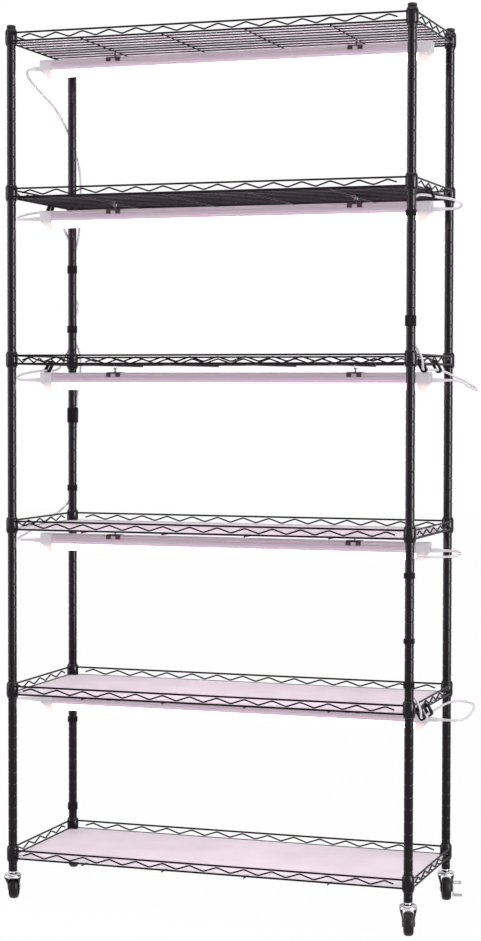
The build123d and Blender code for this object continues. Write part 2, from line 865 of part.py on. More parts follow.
def band_outline(radius, reach):
    """A many-sided outline stretched towards +X."""
    points = []
    for i in range(wrap_sides):
        angle = math.radians(i * 360 / wrap_sides)
        corner = radius / math.cos(math.pi / wrap_sides)
        shift = reach if math.cos(angle) > 0 else 0
        points.append((corner * math.cos(angle) + shift, corner * math.sin(angle)))
    return make_face(Polyline(*points, close=True))


def make_band(place, inner_radius, reach, width):
    """A band of hook-and-loop tape of a given width, stretched along the place's X axis."""
    ring = band_outline(inner_radius + wrap_thickness, reach) - band_outline(inner_radius, reach)
    return extrude(place * ring, width / 2, both=True)


def post_wrap(corner, bearing, distance, height, width):
    """A wrap round a post and the cords behind it, out to the one at the given distance."""
    radius = post_diameter / 2 + wrap_clearance
    place = Plane(origin=(*corner, height)).rotated((0, 0, bearing))
    return make_band(place, radius, distance + cord_diameter / 2 + wrap_clearance - radius, width)


def side_strap(side, shelf, y, cord_x, cord_z):
    """A strap round a shelf's lower side rim and the cord below it."""
    rim = Vector(side * rim_x, y, shelf_heights[shelf - 1] + lower_rim_z)
    cord = Vector(cord_x, y, cord_z)
    place = Plane(origin=rim, x_dir=cord - rim, z_dir=(0, 1, 0))
    return make_band(place, cord_diameter / 2 + wrap_clearance, (cord - rim).length, strap_width)


def make_cord_wraps():
    """The wraps on the two posts that carry cords, and the straps on the shelves' side rims."""
    wraps = []
    for strand, (z, width) in zip((outer_strand_1_2, outer_strand_3_4), loop_wraps_z_and_width):
        out = Vector(strand[0] - back_left[0], strand[1] - back_left[1])
        wraps.append(post_wrap(back_left, math.degrees(math.atan2(out.Y, out.X)), out.length, z, width))
    for z, width in back_left_wraps_z_and_width:
        wraps.append(post_wrap(back_left, back_bearing, cord_beside_post, z, width))
    for z, width in mains_wraps_z_and_width:
        wraps.append(post_wrap(back_left, back_bearing, cord_past_collar, z, width))
    for z, width in front_right_wraps_z_and_width:
        wraps.append(post_wrap(front_right, 90, cord_beside_post, z, width))
    return wraps + [side_strap(*strap) for strap in side_straps]


# Casters
def make_stem():
    """The fixed part: king pin with its head, domed plate and stem in one."""
    plate_bottom = fork_cup_top_height + swivel_gap
    plate_top = plate_bottom + dome_edge_height
    head_top = fork_cup_top_height - fork_thickness - swivel_gap / 2
    dome_top = post_bottom_height - dome_nut_height
    stem_top = post_bottom_height + stem_length
    return turned(
        (head_top - kingpin_head_height, kingpin_head_diameter, head_top, kingpin_head_diameter),
        (head_top, kingpin_diameter, plate_bottom, kingpin_diameter),
        (plate_bottom, dome_diameter, plate_top, dome_diameter),
        (plate_top, dome_diameter, dome_top, dome_nut_diameter),
        (dome_top, dome_nut_diameter, post_bottom_height, dome_nut_diameter),
        (post_bottom_height, stem_diameter, stem_top, stem_diameter),
    )


fork_inner = wheel_hub_width / 2 + fork_side_clearance
fork_outer = fork_inner + fork_thickness
axle_corner = axle_diameter / math.cos(math.pi / pin_sides)


def on_axle(shape):
    """Stand a shape made about Z on the caster's axle, with its top towards +X."""
    return Pos(0, -caster_trail, wheel_diameter / 2) * Rot(0, 90, 0) * shape


def make_fork():
    """A pressed cup with two legs that taper in to the axle."""
    outer = fork_cup_diameter / 2
    top = fork_cup_top_height
    skirt = top - fork_cup_height
    under = top - fork_thickness
    hole = kingpin_diameter / math.cos(math.pi / turned_sides) + 2 * kingpin_clearance
    hollow = fork_cup_diameter - 2 * fork_thickness
    cup = turned((skirt, fork_cup_diameter, top, fork_cup_diameter))
    cup -= turned((skirt, hollow, under, hollow)) + turned((under, hole, top, hole))
    axle_z = wheel_diameter / 2
    tip = fork_leg_tip_radius
    front = make_face(
        Polyline(
            (outer - 2 * fork_thickness, under),
            (outer - fork_thickness, under),
            (outer - fork_thickness, skirt),
            (fork_outer, fork_knee_height),
            (fork_outer, axle_z - tip),
            (fork_inner, axle_z - tip),
            (fork_inner, fork_knee_height),
            (outer - 2 * fork_thickness, skirt),
            close=True,
        )
    )
    half_top = fork_leg_top_width / 2
    side = make_face(
        Polyline(
            (half_top, under),
            (half_top, skirt),
            (tip - caster_trail, axle_z),
            (tip / 2 - caster_trail, axle_z - tip),
            (-tip / 2 - caster_trail, axle_z - tip),
            (-tip - caster_trail, axle_z),
            (-half_top, skirt),
            (-half_top, under),
            close=True,
        )
    )
    leg = extrude(Plane.XZ * front, fork_cup_diameter + caster_trail, both=True)
    leg &= extrude(Plane.YZ * side, outer, both=True)
    hole_for_axle = on_axle(turned((-outer, axle_diameter, outer, axle_diameter), sides=pin_sides))
    return cup + leg + mirror(leg, Plane.YZ) - hole_for_axle


def make_axle(braked):
    """A riveted pin through both legs, longer at the lever's side of a braked caster."""
    stack = 2 * lever_clearance + lever_thickness if braked else 0
    far = fork_outer + stack
    pin = turned(
        (-fork_outer - axle_head_height, axle_head_diameter, -fork_outer, axle_head_diameter),
        (-fork_outer, axle_diameter, far, axle_diameter),
        (far, axle_head_diameter, far + axle_head_height, axle_head_diameter),
        sides=pin_sides,
    )
    return on_axle(pin)


def make_wheel():
    """A solid wheel with sloped shoulders, dished sides and a raised hub."""
    half = wheel_width / 2
    hub = wheel_hub_width / 2
    edge = half - wheel_shoulder
    side = wheel_diameter - 2 * wheel_shoulder
    wheel = turned(
        (-half, side, -edge, wheel_diameter),
        (-edge, wheel_diameter, edge, wheel_diameter),
        (edge, wheel_diameter, half, side),
        sides=wheel_sides,
    )
    dish = turned((half - wheel_recess_depth, wheel_recess_diameter, half, wheel_recess_diameter))
    wheel = wheel - dish - mirror(dish, Plane.XY)
    wheel += turned((-hub, wheel_hub_diameter, hub, wheel_hub_diameter), sides=pin_sides)
    bore = axle_corner + 2 * axle_clearance
    return on_axle(wheel - turned((-hub, bore, hub, bore), sides=pin_sides))


def make_lever():
    """The stamped rocker on the axle: a pedal low in front and a holed release tab high behind."""
    inner = fork_outer + lever_clearance
    half_width = lever_arm_width / 2
    reach = inner + lever_tab_reach
    bore = axle_corner + 2 * axle_clearance
    outline = Rectangle(2 * lever_arm, lever_arm_width) + regular(lever_boss_diameter, turned_sides)
    plate = extrude(Plane.YZ.offset(inner) * (outline - regular(bore, pin_sides)), lever_thickness)
    pedal = Plane.XZ.offset(lever_arm) * make_face(
        Polyline(
            (inner, -half_width),
            (inner, half_width),
            (reach, lever_arm_width * lever_pedal_end_share - half_width),
            (reach, -half_width),
            close=True,
        )
    )
    tab = Pos(inner + lever_tab_reach / 2, 0) * (
        Rectangle(lever_tab_reach, lever_arm_width)
        - Rectangle(lever_tab_reach * lever_window_share, lever_arm_width * lever_window_share)
    )
    rocker = plate + extrude(pedal, -lever_thickness) + extrude(Plane.XZ.offset(-lever_arm) * tab, lever_thickness)
    return Pos(0, -caster_trail, wheel_diameter / 2) * Rot(lever_arm_tilt, 0, 0) * rocker


def caster_places():
    """Name, place and turn of each caster: the right pair trails forwards and the left pair backwards."""
    for name, (x, y) in zip(corner_names, corners):
        yield name, Pos(x, y, 0) * Rot(0, 0, caster_turn + (180 if x < 0 else 0))


def build():
    os.makedirs("parts", exist_ok=True)
    post, post_cap, socket = make_post(), make_post_cap(), make_caster_socket()
    for name, (x, y) in zip(corner_names, corners):
        save(f"post_{name}", Pos(x, y, 0) * post)
    save("post_caps", *[Pos(x, y, 0) * post_cap for x, y in corners])
    save("caster_sockets", *[Pos(x, y, 0) * socket for x, y in corners])

    shelf, liner = make_shelf(), make_liner()
    for number, height in enumerate(shelf_heights, start=1):
        save(f"shelf_{number}", *[Pos(0, 0, height) * piece for piece in shelf])
        if number > 1:
            save(f"liner_{number}", Pos(0, 0, height) * liner)
    housing, lens, board, cap = make_housing(), make_lens(), make_board(), make_end_cap()
    clip, hook = make_clip(), make_hook()
    turned = Rot(0, 0, 180)
    for number, height in enumerate(light_heights, start=1):
        save(f"light_{number}_housing", Pos(0, 0, height) * housing)
        save(f"light_{number}_lens", Pos(0, 0, height) * lens)
    save("light_boards", *[Pos(0, 0, height) * board for height in light_heights])
    save("light_end_caps", *[Pos(0, 0, height) * piece for height in light_heights for piece in (cap, turned * cap)])
    hook_xs = (support_xs[0], support_xs[-1])
    save(
        "light_clips",
        *[Pos(x + hook_tab_x, 0, height + clip_clearance) * clip for height in light_heights for x in hook_xs],
    )
    save("light_hooks", *[Pos(x, 0, height) * hook for height in shelf_heights[:-1] for x in hook_xs])
    connector = make_connector(relief_length)
    connectors = [turned * make_connector(top_relief_length)]
    connectors[0] = Pos(0, 0, light_heights[0]) * connectors[0]
    for height in light_heights[1:]:
        connectors += [Pos(0, 0, height) * connector, Pos(0, 0, height) * (turned * connector)]
    save("cord_connectors", *connectors)

    save("link_cord_1_2", tube("link_cord_1_2", link_1_2_route))
    save("link_cord_2_3", tube("link_cord_2_3", link_2_3_route))
    save("link_cord_3_4", tube("link_cord_3_4", link_3_4_route))
    save("link_cord_4_5", tube("link_cord_4_5", link_4_5_route))
    save("power_cord", tube("power_cord", power_cord_route))
    save("power_cord_coil", make_coil())
    save("power_plug", make_plug())
    save("cord_wraps", *make_cord_wraps())

    stem, fork, wheel, lever = make_stem(), make_fork(), make_wheel(), make_lever()
    save("caster_stems", *[Pos(x, y, 0) * stem for x, y in corners])
    for name, place in caster_places():
        braked = name.startswith("back")
        save(f"caster_{name}_fork", place * fork)
        save(f"caster_{name}_axle", place * make_axle(braked))
        save(f"caster_{name}_wheel", place * wheel)
        if braked:
            save(f"caster_{name}_brake", place * lever)


build()
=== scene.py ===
"""Plant stand with grow lights: six wire shelves on four grooved posts, five hanging lights, four casters.

Laid out as a Blender add-on and run as a script. Each operator makes one piece or one group of like pieces.
Shapes are worked out in millimetres about the stand's own frame and become metres when a mesh is made.
"""

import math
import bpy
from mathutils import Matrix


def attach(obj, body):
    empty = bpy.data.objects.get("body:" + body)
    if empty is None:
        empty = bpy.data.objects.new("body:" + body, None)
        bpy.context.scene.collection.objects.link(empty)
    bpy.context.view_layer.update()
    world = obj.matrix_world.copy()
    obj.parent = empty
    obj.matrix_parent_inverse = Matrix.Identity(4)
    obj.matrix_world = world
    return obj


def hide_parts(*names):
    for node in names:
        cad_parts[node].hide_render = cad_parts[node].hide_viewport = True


bl_info = {
    "name": "Plant stand with grow lights",
    "version": (1, 0, 0),
    "blender": (4, 5, 0),
    "location": "View3D > Sidebar > Plant stand",
    "description": "Builds a wire shelf rack for plants with its lights, cords and casters",
    "category": "Add Mesh",
}

import bmesh
import bpy
from bpy.props import FloatProperty, FloatVectorProperty, PointerProperty
from mathutils import Matrix, Vector

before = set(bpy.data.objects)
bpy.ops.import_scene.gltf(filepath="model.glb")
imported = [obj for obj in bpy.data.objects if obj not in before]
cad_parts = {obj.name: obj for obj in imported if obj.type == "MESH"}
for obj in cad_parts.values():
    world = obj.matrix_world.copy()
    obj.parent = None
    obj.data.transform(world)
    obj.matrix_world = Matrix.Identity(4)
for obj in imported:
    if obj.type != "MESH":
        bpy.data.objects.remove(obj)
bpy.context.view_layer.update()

# The stand's own frame, in millimetres: the posts' axes, the shelves' levels and what is placed from them
INCH = 25.4
POST_X, POST_Y = 440.0, 165.0
CORNERS = {
    "front_left": (-POST_X, -POST_Y),
    "front_right": (POST_X, -POST_Y),
    "back_left": (-POST_X, POST_Y),
    "back_right": (POST_X, POST_Y),
}
SHELF_Z = [102.0 + INCH * step for step in (69, 56, 42, 28, 14, 0)]
POST_FOOT, POST_TOP = 64.0, SHELF_Z[0] + 22.0
# A light's level is 27 mm under its shelf's, and its connectors' level 16 mm under that
LIGHT_Z = [z - 27.0 for z in SHELF_Z[:-1]]
CONNECTOR_Z = [z - 16.0 for z in LIGHT_Z]
LENS_END, EXIT_X = 414.0, 484.0
HANGER_XS = (-273.0, 273.0)
# Rim wires lie outside the posts' axes and above and below the shelf's level. The other wires are placed from the
# CAD's rim wire, whatever the panel says of its thickness
RIM_OUT, RIM_RISE, CAD_RIM = 9.0, 8.75, 3.4
RIM_X, RIM_Y = POST_X + RIM_OUT, POST_Y + RIM_OUT
TRUSS_PITCH, SUPPORT_PITCH, DECK_WIRES = 60.5, 182.0, 10
# Casters: the axle's distance behind the king pin, its height, and how far the casters are turned, in degrees
AXLE_BACK, AXLE_Z, CASTER_TURN = 20.0, 25.0, 17.0
# The mains lead's coil on the floor: its middle, widest radius, loss of radius per turn, lowest level, next layer
COIL_X, COIL_Y, COIL_RADIUS, COIL_STEP = -330.0, 290.0, 32.9, 5.8
FLOOR_LEVEL, LAYER = 2.6, 5.8
ROOT = "stand"

# Camera, in pixels, metres and degrees
PICTURE_HEIGHT = 941.0
FOCAL_PIXELS = 2190.0
CAMERA_PLACE = (1.534, -4.461, 1.109)
CAMERA_YAW, CAMERA_DIP, CAMERA_ROLL = 18.72, 2.16, 0.11
# Light: the world's strength on the stand, how white the floor is seen, and the lamps as name, place in metres,
# power, width, height, tone, and whether the lamp shows in reflections only
WORLD_LIGHT = 0.6
FLOOR_SHARE = 0.975
LAMPS = (
    ("Left lamp", (-3.2, -2.2, 2.2), 34, 2.0, 3.0, (1.0, 0.97, 1.0)),
    ("Right lamp", (3.4, -2.0, 2.0), 38, 2.0, 3.0, (1.0, 0.97, 1.0)),
    ("Top lamp", (0.3, -0.8, 4.2), 45, 3.0, 2.0, (1.0, 1.0, 1.0)),
    ("Right strip", (4.2, -1.1, 1.2), 420, 1.6, 3.4, (1.0, 0.96, 1.0), True),
    ("Left strip", (-4.2, -1.4, 1.3), 70, 1.2, 3.2, (0.93, 0.88, 1.0), True),
)


def measure(name, description, default):
    """A size property in metres."""
    return FloatProperty(name=name, description=description, default=default, unit="LENGTH")


class StandSizes(bpy.types.PropertyGroup):
    """Sizes of the round stock that the stand is made from."""

    post: measure("Post", "Diameter of the posts", 0.019)
    groove: measure("Groove", "Depth of the rings in the posts", 0.00055)
    collar: measure("Collar", "Diameter of the corner collars", 0.026)
    rim: measure("Rim wire", "Diameter of the rim wires", 0.004)
    truss: measure("Truss wire", "Diameter of the zigzag wires", 0.0034)
    deck: measure("Deck wire", "Diameter of the deck wires", 0.003)
    support: measure("Support wire", "Diameter of the cross wires", 0.003)
    hook: measure("Hook wire", "Diameter of the light hooks", 0.002)
    cord: measure("Cord", "Diameter of the cords", 0.005)
    wheel: measure("Wheel", "Diameter of the wheels", 0.05)
    tape: measure("Tape", "Thickness of the straps", 0.0013)


def colour(name, description, default):
    """A colour property in linear light."""
    return FloatVectorProperty(name=name, description=description, subtype="COLOR", size=3, default=default)


class StandColours(bpy.types.PropertyGroup):
    """Base colours of the finishes."""

    coat: colour("Powder coat", "Posts, shelves and collars", (0.0075, 0.0045, 0.008))
    black_plastic: colour("Black plastic", "Caps, sleeves and bushes", (0.008, 0.008, 0.009))
    tape: colour("Tape", "Hook-and-loop straps", (0.006, 0.004, 0.005))
    sheet: colour("Liner", "Frosted sheets on the decks", (0.98, 0.92, 0.96))
    channel: colour("Channel", "Light housings", (0.58, 0.49, 0.56))
    white_plastic: colour("White plastic", "Connectors and plug", (0.74, 0.70, 0.73))
    jacket: colour("Jacket", "Cords", (0.73, 0.69, 0.73))
    cap: colour("End cap", "Light end caps", (0.66, 0.63, 0.67))
    steel: colour("Spring steel", "Light clips", (0.085, 0.045, 0.06))
    wire: colour("Bright wire", "Light hooks", (0.62, 0.52, 0.58))
    chrome: colour("Chrome", "Caster forks and domes", (0.62, 0.61, 0.64))
    tread: colour("Tread", "Caster wheels", (0.007, 0.005, 0.006))


def size(name):
    """A size from the panel, in millimetres."""
    return 1000 * getattr(bpy.context.scene.stand_sizes, name)


def tint(name):
    """A colour from the panel."""
    return tuple(getattr(bpy.context.scene.stand_colours, name))


# ---------------------------------------------------------------- effects shared by materials
def feed(tree, socket, value):
    """Gives an input a value, or links another node's output to it."""
    if isinstance(value, bpy.types.NodeSocket):
        tree.links.new(value, socket)
    else:
        socket.default_value = value


def node(tree, kind, *in_order, operation=None, **by_name):
    """A new shader node whose inputs are fed in order or by name."""
    made = tree.nodes.new("ShaderNode" + kind)
    if operation:
        made.operation = operation
    for socket, value in zip(made.inputs, in_order):
        feed(tree, socket, value)
    for label, value in by_name.items():
        feed(tree, made.inputs[label.replace("_", " ")], value)
    return made


def maths(tree, operation, first, second, clamp=False):
    """The output of a math node."""
    made = node(tree, "Math", first, second, operation=operation)
    made.use_clamp = clamp
    return made.outputs["Value"]


def spread(tree, value, **limits):
    """A value taken from one range to another."""
    return node(tree, "MapRange", Value=value, **limits).outputs["Result"]


def colour_mix(tree, factor, *colours):
    """A colour between two, each given as numbers or as another node's output."""
    made = node(tree, "Mix")
    made.data_type = "RGBA"
    feed(tree, made.inputs["Factor"], factor)
    for socket, value in zip([s for s in made.inputs if s.type == "RGBA"], colours):
        feed(tree, socket, value if isinstance(value, bpy.types.NodeSocket) else (*value, 1))
    return next(s for s in made.outputs if s.type == "RGBA")


def pebbled(tree, place, scale, drift_scale):
    """Fine pebbled skin: a height for the bump and a slow drift of tone."""
    fine = node(tree, "TexNoise", Vector=place, Scale=scale, Detail=2.0)
    drift = node(tree, "TexNoise", Vector=place, Scale=drift_scale, Detail=4.0)
    return fine.outputs["Fac"], spread(tree, drift.outputs["Fac"], From_Min=0.3, From_Max=0.7)


def drawn(tree, place, across, along):
    """Lines drawn out along the length of a piece, as on rolled or extruded metal."""
    stretch = node(tree, "CombineXYZ", along, across, across)
    scaled = node(tree, "VectorMath", place, stretch.outputs["Vector"], operation="MULTIPLY")
    lines = node(tree, "TexNoise", Vector=scaled.outputs["Vector"], Scale=1.0, Detail=3.0).outputs["Fac"]
    return lines, lines


def woven(tree, place, threads, fuzz_scale):
    """A close weave from two crossed waves, with fuzz over it."""
    waves = []
    for direction in ("X", "Z"):
        wave = node(tree, "TexWave", Vector=place, Scale=threads, Distortion=1.2, Detail_Scale=2.0)
        wave.bands_direction = direction
        waves.append(wave.outputs["Fac"])
    fuzz = node(tree, "TexNoise", Vector=place, Scale=fuzz_scale).outputs["Fac"]
    return maths(tree, "ADD", maths(tree, "MULTIPLY", *waves), fuzz), fuzz


def settled(tree, place, amount, patch_scale):
    """A mask of dust that has settled on faces that look upwards."""
    facing = node(tree, "SeparateXYZ", node(tree, "NewGeometry").outputs["Normal"])
    upward = spread(tree, facing.outputs["Z"], From_Min=0.35)
    patches = node(tree, "TexNoise", Vector=place, Scale=patch_scale).outputs["Fac"]
    return (maths(tree, "MULTIPLY", maths(tree, "MULTIPLY", upward, patches), amount),)


# The node group's name, its wiring, its inputs with their usual values, and its outputs
PATTERNS = {
    "pebbled": ("Pebbled skin", pebbled, {"Scale": 900.0, "Drift scale": 9.0}, ("Height", "Tone")),
    "drawn": ("Drawn lines", drawn, {"Across": 900.0, "Along": 8.0}, ("Height", "Tone")),
    "woven": ("Woven tape", woven, {"Threads": 420.0, "Fuzz scale": 1500.0}, ("Height", "Tone")),
    "dust": ("Settled dust", settled, {"Amount": 0.3, "Patch scale": 40.0}, ("Mask",)),
}


def effect(pattern):
    """A pattern's shader node group, wired the first time that it is asked for."""
    name, wire, inputs, outputs = PATTERNS[pattern]
    if name not in bpy.data.node_groups:
        group = bpy.data.node_groups.new(name, "ShaderNodeTree")
        for label, default in inputs.items():
            socket = group.interface.new_socket(label, in_out="INPUT", socket_type="NodeSocketFloat")
            socket.default_value = default
        for label in outputs:
            group.interface.new_socket(label, in_out="OUTPUT", socket_type="NodeSocketFloat")
        source, sink = group.nodes.new("NodeGroupInput"), group.nodes.new("NodeGroupOutput")
        place = node(group, "TexCoord").outputs["Object"]
        made = wire(group, place, *(source.outputs[label] for label in inputs))
        for label, value in zip(outputs, made):
            group.links.new(value, sink.inputs[label])
    return bpy.data.node_groups[name]


def patterned(tree, pattern, *numbers):
    """The outputs of a pattern in a material, its inputs set in order."""
    made = tree.nodes.new("ShaderNodeGroup")
    made.node_tree = effect(pattern)
    for socket, value in zip(made.inputs, numbers):
        socket.default_value = value
    return made.outputs


# ---------------------------------------------------------------- materials
DUST_COLOUR = (0.42, 0.38, 0.42)
FINISHES = {
    "Powder coat": ("coat", "pebbled", (1400.0, 14.0), dict(
        rough=(0.14, 0.2), bump=0.04, depth=0.0001, dust=0.01, specular_ior_level=0.16)),
    "Wire coat": ("coat", "pebbled", (1400.0, 14.0), dict(rough=(0.3, 0.4), specular_ior_level=0.07)),
    "Black plastic": ("black_plastic", "pebbled", (2200.0, 40.0), dict(
        rough=(0.45, 0.6), bump=0.15, dust=0.05, specular_ior_level=0.3)),
    "Strap tape": ("tape", "woven", (420.0, 1600.0), dict(
        rough=(0.85, 0.98), bump=0.6, depth=0.0004, drift=0.5, sheen_weight=0.03, sheen_roughness=0.6,
        specular_ior_level=0.15)),
    "White plastic": ("white_plastic", "pebbled", (1800.0, 30.0), dict(rough=(0.3, 0.42), bump=0.06, drift=0.04)),
    "Cord jacket": ("jacket", "pebbled", (1500.0, 22.0), dict(rough=(0.42, 0.55), drift=0.06)),
    "Channel paint": ("channel", "drawn", (1400.0, 6.0), dict(rough=(0.32, 0.45), drift=0.08, metallic=0.35)),
    "Spring steel": ("steel", "drawn", (2000.0, 30.0), dict(
        rough=(0.22, 0.38), bump=0.12, drift=0.3, metallic=0.9)),
    "Bright wire": ("wire", "drawn", (2000.0, 2000.0), dict(
        rough=(0.2, 0.3), bump=0.08, drift=0.15, metallic=0.9)),
    "Chrome plate": ("chrome", "pebbled", (500.0, 60.0), dict(
        rough=(0.05, 0.14), bump=0.03, drift=0.08, metallic=1.0)),
    # Painted shade: the caster forks' chrome legs are coloured near-black for the shade between legs and wheel.
    "Dark chrome": ((0.012, 0.009, 0.011), "pebbled", (500.0, 60.0), dict(
        rough=(0.1, 0.2), bump=0.03, drift=0.2, specular_ior_level=0.35)),
    "Brushed lever": ((0.42, 0.42, 0.47), "drawn", (900.0, 200.0), dict(
        rough=(0.15, 0.3), drift=0.2, metallic=1.0)),
    "Wheel plastic": ("tread", "pebbled", (1300.0, 55.0), dict(
        rough=(0.38, 0.55), bump=0.2, dust=0.03, specular_ior_level=0.2)),
    "Bare steel": ((0.62, 0.60, 0.56), "drawn", (1500.0, 1500.0), dict(
        rough=(0.2, 0.32), drift=0.12, metallic=1.0)),
    "Lamp board": ((0.85, 0.85, 0.82), "pebbled", (600.0, 90.0), dict(rough=(0.35, 0.45), bump=0.05, drift=0.05)),
    "Frosted sheet": ("sheet", "pebbled", (1100.0, 5.0), dict(
        rough=(0.55, 0.7), bump=0.15, depth=0.0003, drift=0.03, haze=(0.66, 0.8), transmission_weight=0.3,
        ior=1.15)),
    "Lit diffuser": ((0.55, 0.46, 0.54), "pebbled", (1500.0, 25.0), dict(
        rough=(0.3, 0.4), bump=0.05, drift=0.03, emission_strength=9.0,
        glow=(-0.0242, -0.0218, (1.0, 0.7, 0.9), (0.022, 0.015, 0.021)))),
    # Painted light: the end caps glow peach low down, emission on a part that is no lamp, standing in for the
    # LEDs' light shining through.
    "Lit end cap": ("cap", "pebbled", (1500.0, 25.0), dict(
        rough=(0.3, 0.42), bump=0.05, drift=0.03, emission_strength=0.5,
        glow=(-0.032, -0.02, (1.0, 0.62, 0.48), (0.0, 0.0, 0.0)))),
    "Studio floor": ((0.86, 0.86, 0.86), "pebbled", (400.0, 1.0), dict(rough=(0.85, 0.95), bump=0.02, drift=0.01)),
}


def finish(name, base, skin_of, numbers, rough, bump=0.1, depth=0.0002, drift=0.25, dust=0.0, haze=None, glow=None,
           **fixed):
    """A material from a base colour and a pattern. Fixed numbers go straight to the shader's sockets.

    Haze is how opaque a clear sheet is, from low to high. Glow changes with height: from one level to another in
    metres about the piece's own origin, with the colour at each.
    """
    material = bpy.data.materials.new(name)
    material.use_nodes = True
    tree = material.node_tree
    skin = patterned(tree, skin_of, *numbers)
    dark, light = [c * (1 - drift) for c in base], [min(1, c * (1 + drift)) for c in base]
    toned = colour_mix(tree, skin["Tone"], dark, light)
    if dust:
        toned = colour_mix(tree, patterned(tree, "dust", dust)["Mask"], toned, DUST_COLOUR)
    relief = node(tree, "Bump", Strength=bump, Distance=depth, Height=skin["Height"])
    fed = {
        "Base Color": toned,
        "Roughness": spread(tree, skin["Tone"], To_Min=rough[0], To_Max=rough[1]),
        "Normal": relief.outputs["Normal"],
    }
    if haze:
        fed["Alpha"] = spread(tree, skin["Tone"], To_Min=haze[0], To_Max=haze[1])
    if glow:
        low, high, *colours = glow
        level = node(tree, "SeparateXYZ", node(tree, "TexCoord").outputs["Object"]).outputs["Z"]
        fed["Emission Color"] = colour_mix(tree, spread(tree, level, From_Min=low, From_Max=high), *colours)
    for label, value in fixed.items():
        fed[label.replace("_", " ").title().replace("Ior", "IOR")] = value
    for label, value in fed.items():
        feed(tree, tree.nodes["Principled BSDF"].inputs[label], value)
    return material


def made_of(name):
    """The material of a name in FINISHES, made the first time that it is asked for."""
    if name in bpy.data.materials:
        return bpy.data.materials[name]
    base, *rest, extra = FINISHES[name]
    return finish(name, tint(base) if isinstance(base, str) else base, *rest, **extra)


# ---------------------------------------------------------------- forms
def ring_of(bm, points):
    return [bm.verts.new(point) for point in points]


def skin_rings(bm, rings, closed_round=True, closed_along=False):
    """Faces between neighbouring rings of points."""
    count = len(rings[0])
    pairs = list(zip(rings, rings[1:]))
    if closed_along:
        pairs.append((rings[-1], rings[0]))
    for lower, upper in pairs:
        for i in range(count if closed_round else count - 1):
            j = (i + 1) % count
            bm.faces.new((lower[i], lower[j], upper[j], upper[i]))


def close_ends(bm, rings):
    bm.faces.new(reversed(rings[0]))
    bm.faces.new(rings[-1])


def sections(bm, outlines):
    """A solid skinned over outlines with the same count of points."""
    rings = [ring_of(bm, outline) for outline in outlines]
    skin_rings(bm, rings)
    close_ends(bm, rings)


def second_finish(bm, first):
    """The mesh's second finish for all faces from the first on."""
    bm.faces.ensure_lookup_table()
    for face in bm.faces[first:]:
        face.material_index = 1


def lathe(bm, profile, sides=32, place=Matrix(), closed=False, arc=None):
    """A turned form about Z from (radius, height). A closed profile makes a ring, an arc makes a part of one."""
    start, sweep = (0.0, 2 * math.pi) if arc is None else (math.radians(arc[0]), math.radians(arc[1]))
    count = sides if arc is None else sides + 1
    rings = []
    for radius, z in profile:
        points = []
        for i in range(count):
            angle = start + sweep * i / sides
            points.append(place @ Vector((radius * math.cos(angle), radius * math.sin(angle), z)))
        rings.append(ring_of(bm, points))
    skin_rings(bm, rings, closed_round=arc is None, closed_along=closed)
    if not closed:
        close_ends(bm, rings)
    elif arc is not None:
        bm.faces.new([ring[0] for ring in rings])
        bm.faces.new([ring[-1] for ring in reversed(rings)])


def aimed(start, direction):
    """A placement that turns Z to a direction at a point."""
    turn = Vector(direction).to_track_quat("Z", "Y").to_matrix().to_4x4()
    return Matrix.Translation(start) @ turn


def rod(bm, start, end, radius, sides=12):
    """A straight round wire with softened ends."""
    start, end = Vector(start), Vector(end)
    length = (end - start).length
    soft = min(radius * 0.35, length / 4)
    profile = [(radius - soft, 0), (radius, soft), (radius, length - soft), (radius - soft, length)]
    lathe(bm, profile, sides, aimed(start, end - start))


def softened(points, radius, steps=4):
    """Wire points with a small bend at every corner."""
    points = [Vector(point) for point in points]
    out = [points[0]]
    for before, here, after in zip(points, points[1:], points[2:]):
        back, on = (before - here), (after - here)
        cut = min(radius, back.length / 2, on.length / 2)
        first, last = here + back.normalized() * cut, here + on.normalized() * cut
        for i in range(steps + 1):
            t = i / steps
            out.append(first * (1 - t) ** 2 + here * 2 * t * (1 - t) + last * t * t)
    return out + [points[-1]]


def bent_wire(bm, points, radius, sides=10):
    """A round wire that follows points, its section carried along without twist."""
    points = [Vector(point) for point in points]
    tangents = []
    for i, point in enumerate(points):
        before, after = points[max(i - 1, 0)], points[min(i + 1, len(points) - 1)]
        tangents.append((after - before).normalized())
    side = tangents[0].orthogonal().normalized()
    rings = []
    for point, tangent in zip(points, tangents):
        side = (side - tangent * side.dot(tangent)).normalized()
        other = tangent.cross(side)
        angles = [2 * math.pi * i / sides for i in range(sides)]
        rings.append([point + (side * math.cos(a) + other * math.sin(a)) * radius for a in angles])
    sections(bm, rings)


def block(bm, low, high, bevel, steps=3, place=Matrix()):
    """A moulded block with rounded edges."""
    low, high = Vector(low), Vector(high)
    shape = Matrix.Translation((low + high) / 2) @ Matrix.Diagonal((*(high - low), 1))
    made = bmesh.ops.create_cube(bm, size=1.0, matrix=shape)
    edges = dict.fromkeys(edge for vert in made["verts"] for edge in vert.link_edges)
    made = bmesh.ops.bevel(bm, geom=list(edges), offset=bevel, segments=steps, profile=0.5, affect="EDGES")
    corners = dict.fromkeys(vert for face in made["faces"] for vert in face.verts)
    bmesh.ops.transform(bm, matrix=place, verts=list(corners))


def mesh_of(name, build, *finishes, angle=35.0):
    """A mesh in metres from a function that fills a bmesh in millimetres, with its finishes by name."""
    bm = bmesh.new()
    build(bm)
    bmesh.ops.recalc_face_normals(bm, faces=bm.faces)
    bmesh.ops.transform(bm, matrix=Matrix.Scale(0.001, 4), verts=bm.verts)
    mesh = bpy.data.meshes.new(name)
    bm.to_mesh(mesh)
    bm.free()
    mesh.shade_smooth()
    mesh.set_sharp_from_angle(angle=math.radians(angle))
    for entry in finishes:
        mesh.materials.append(made_of(entry))
    return mesh


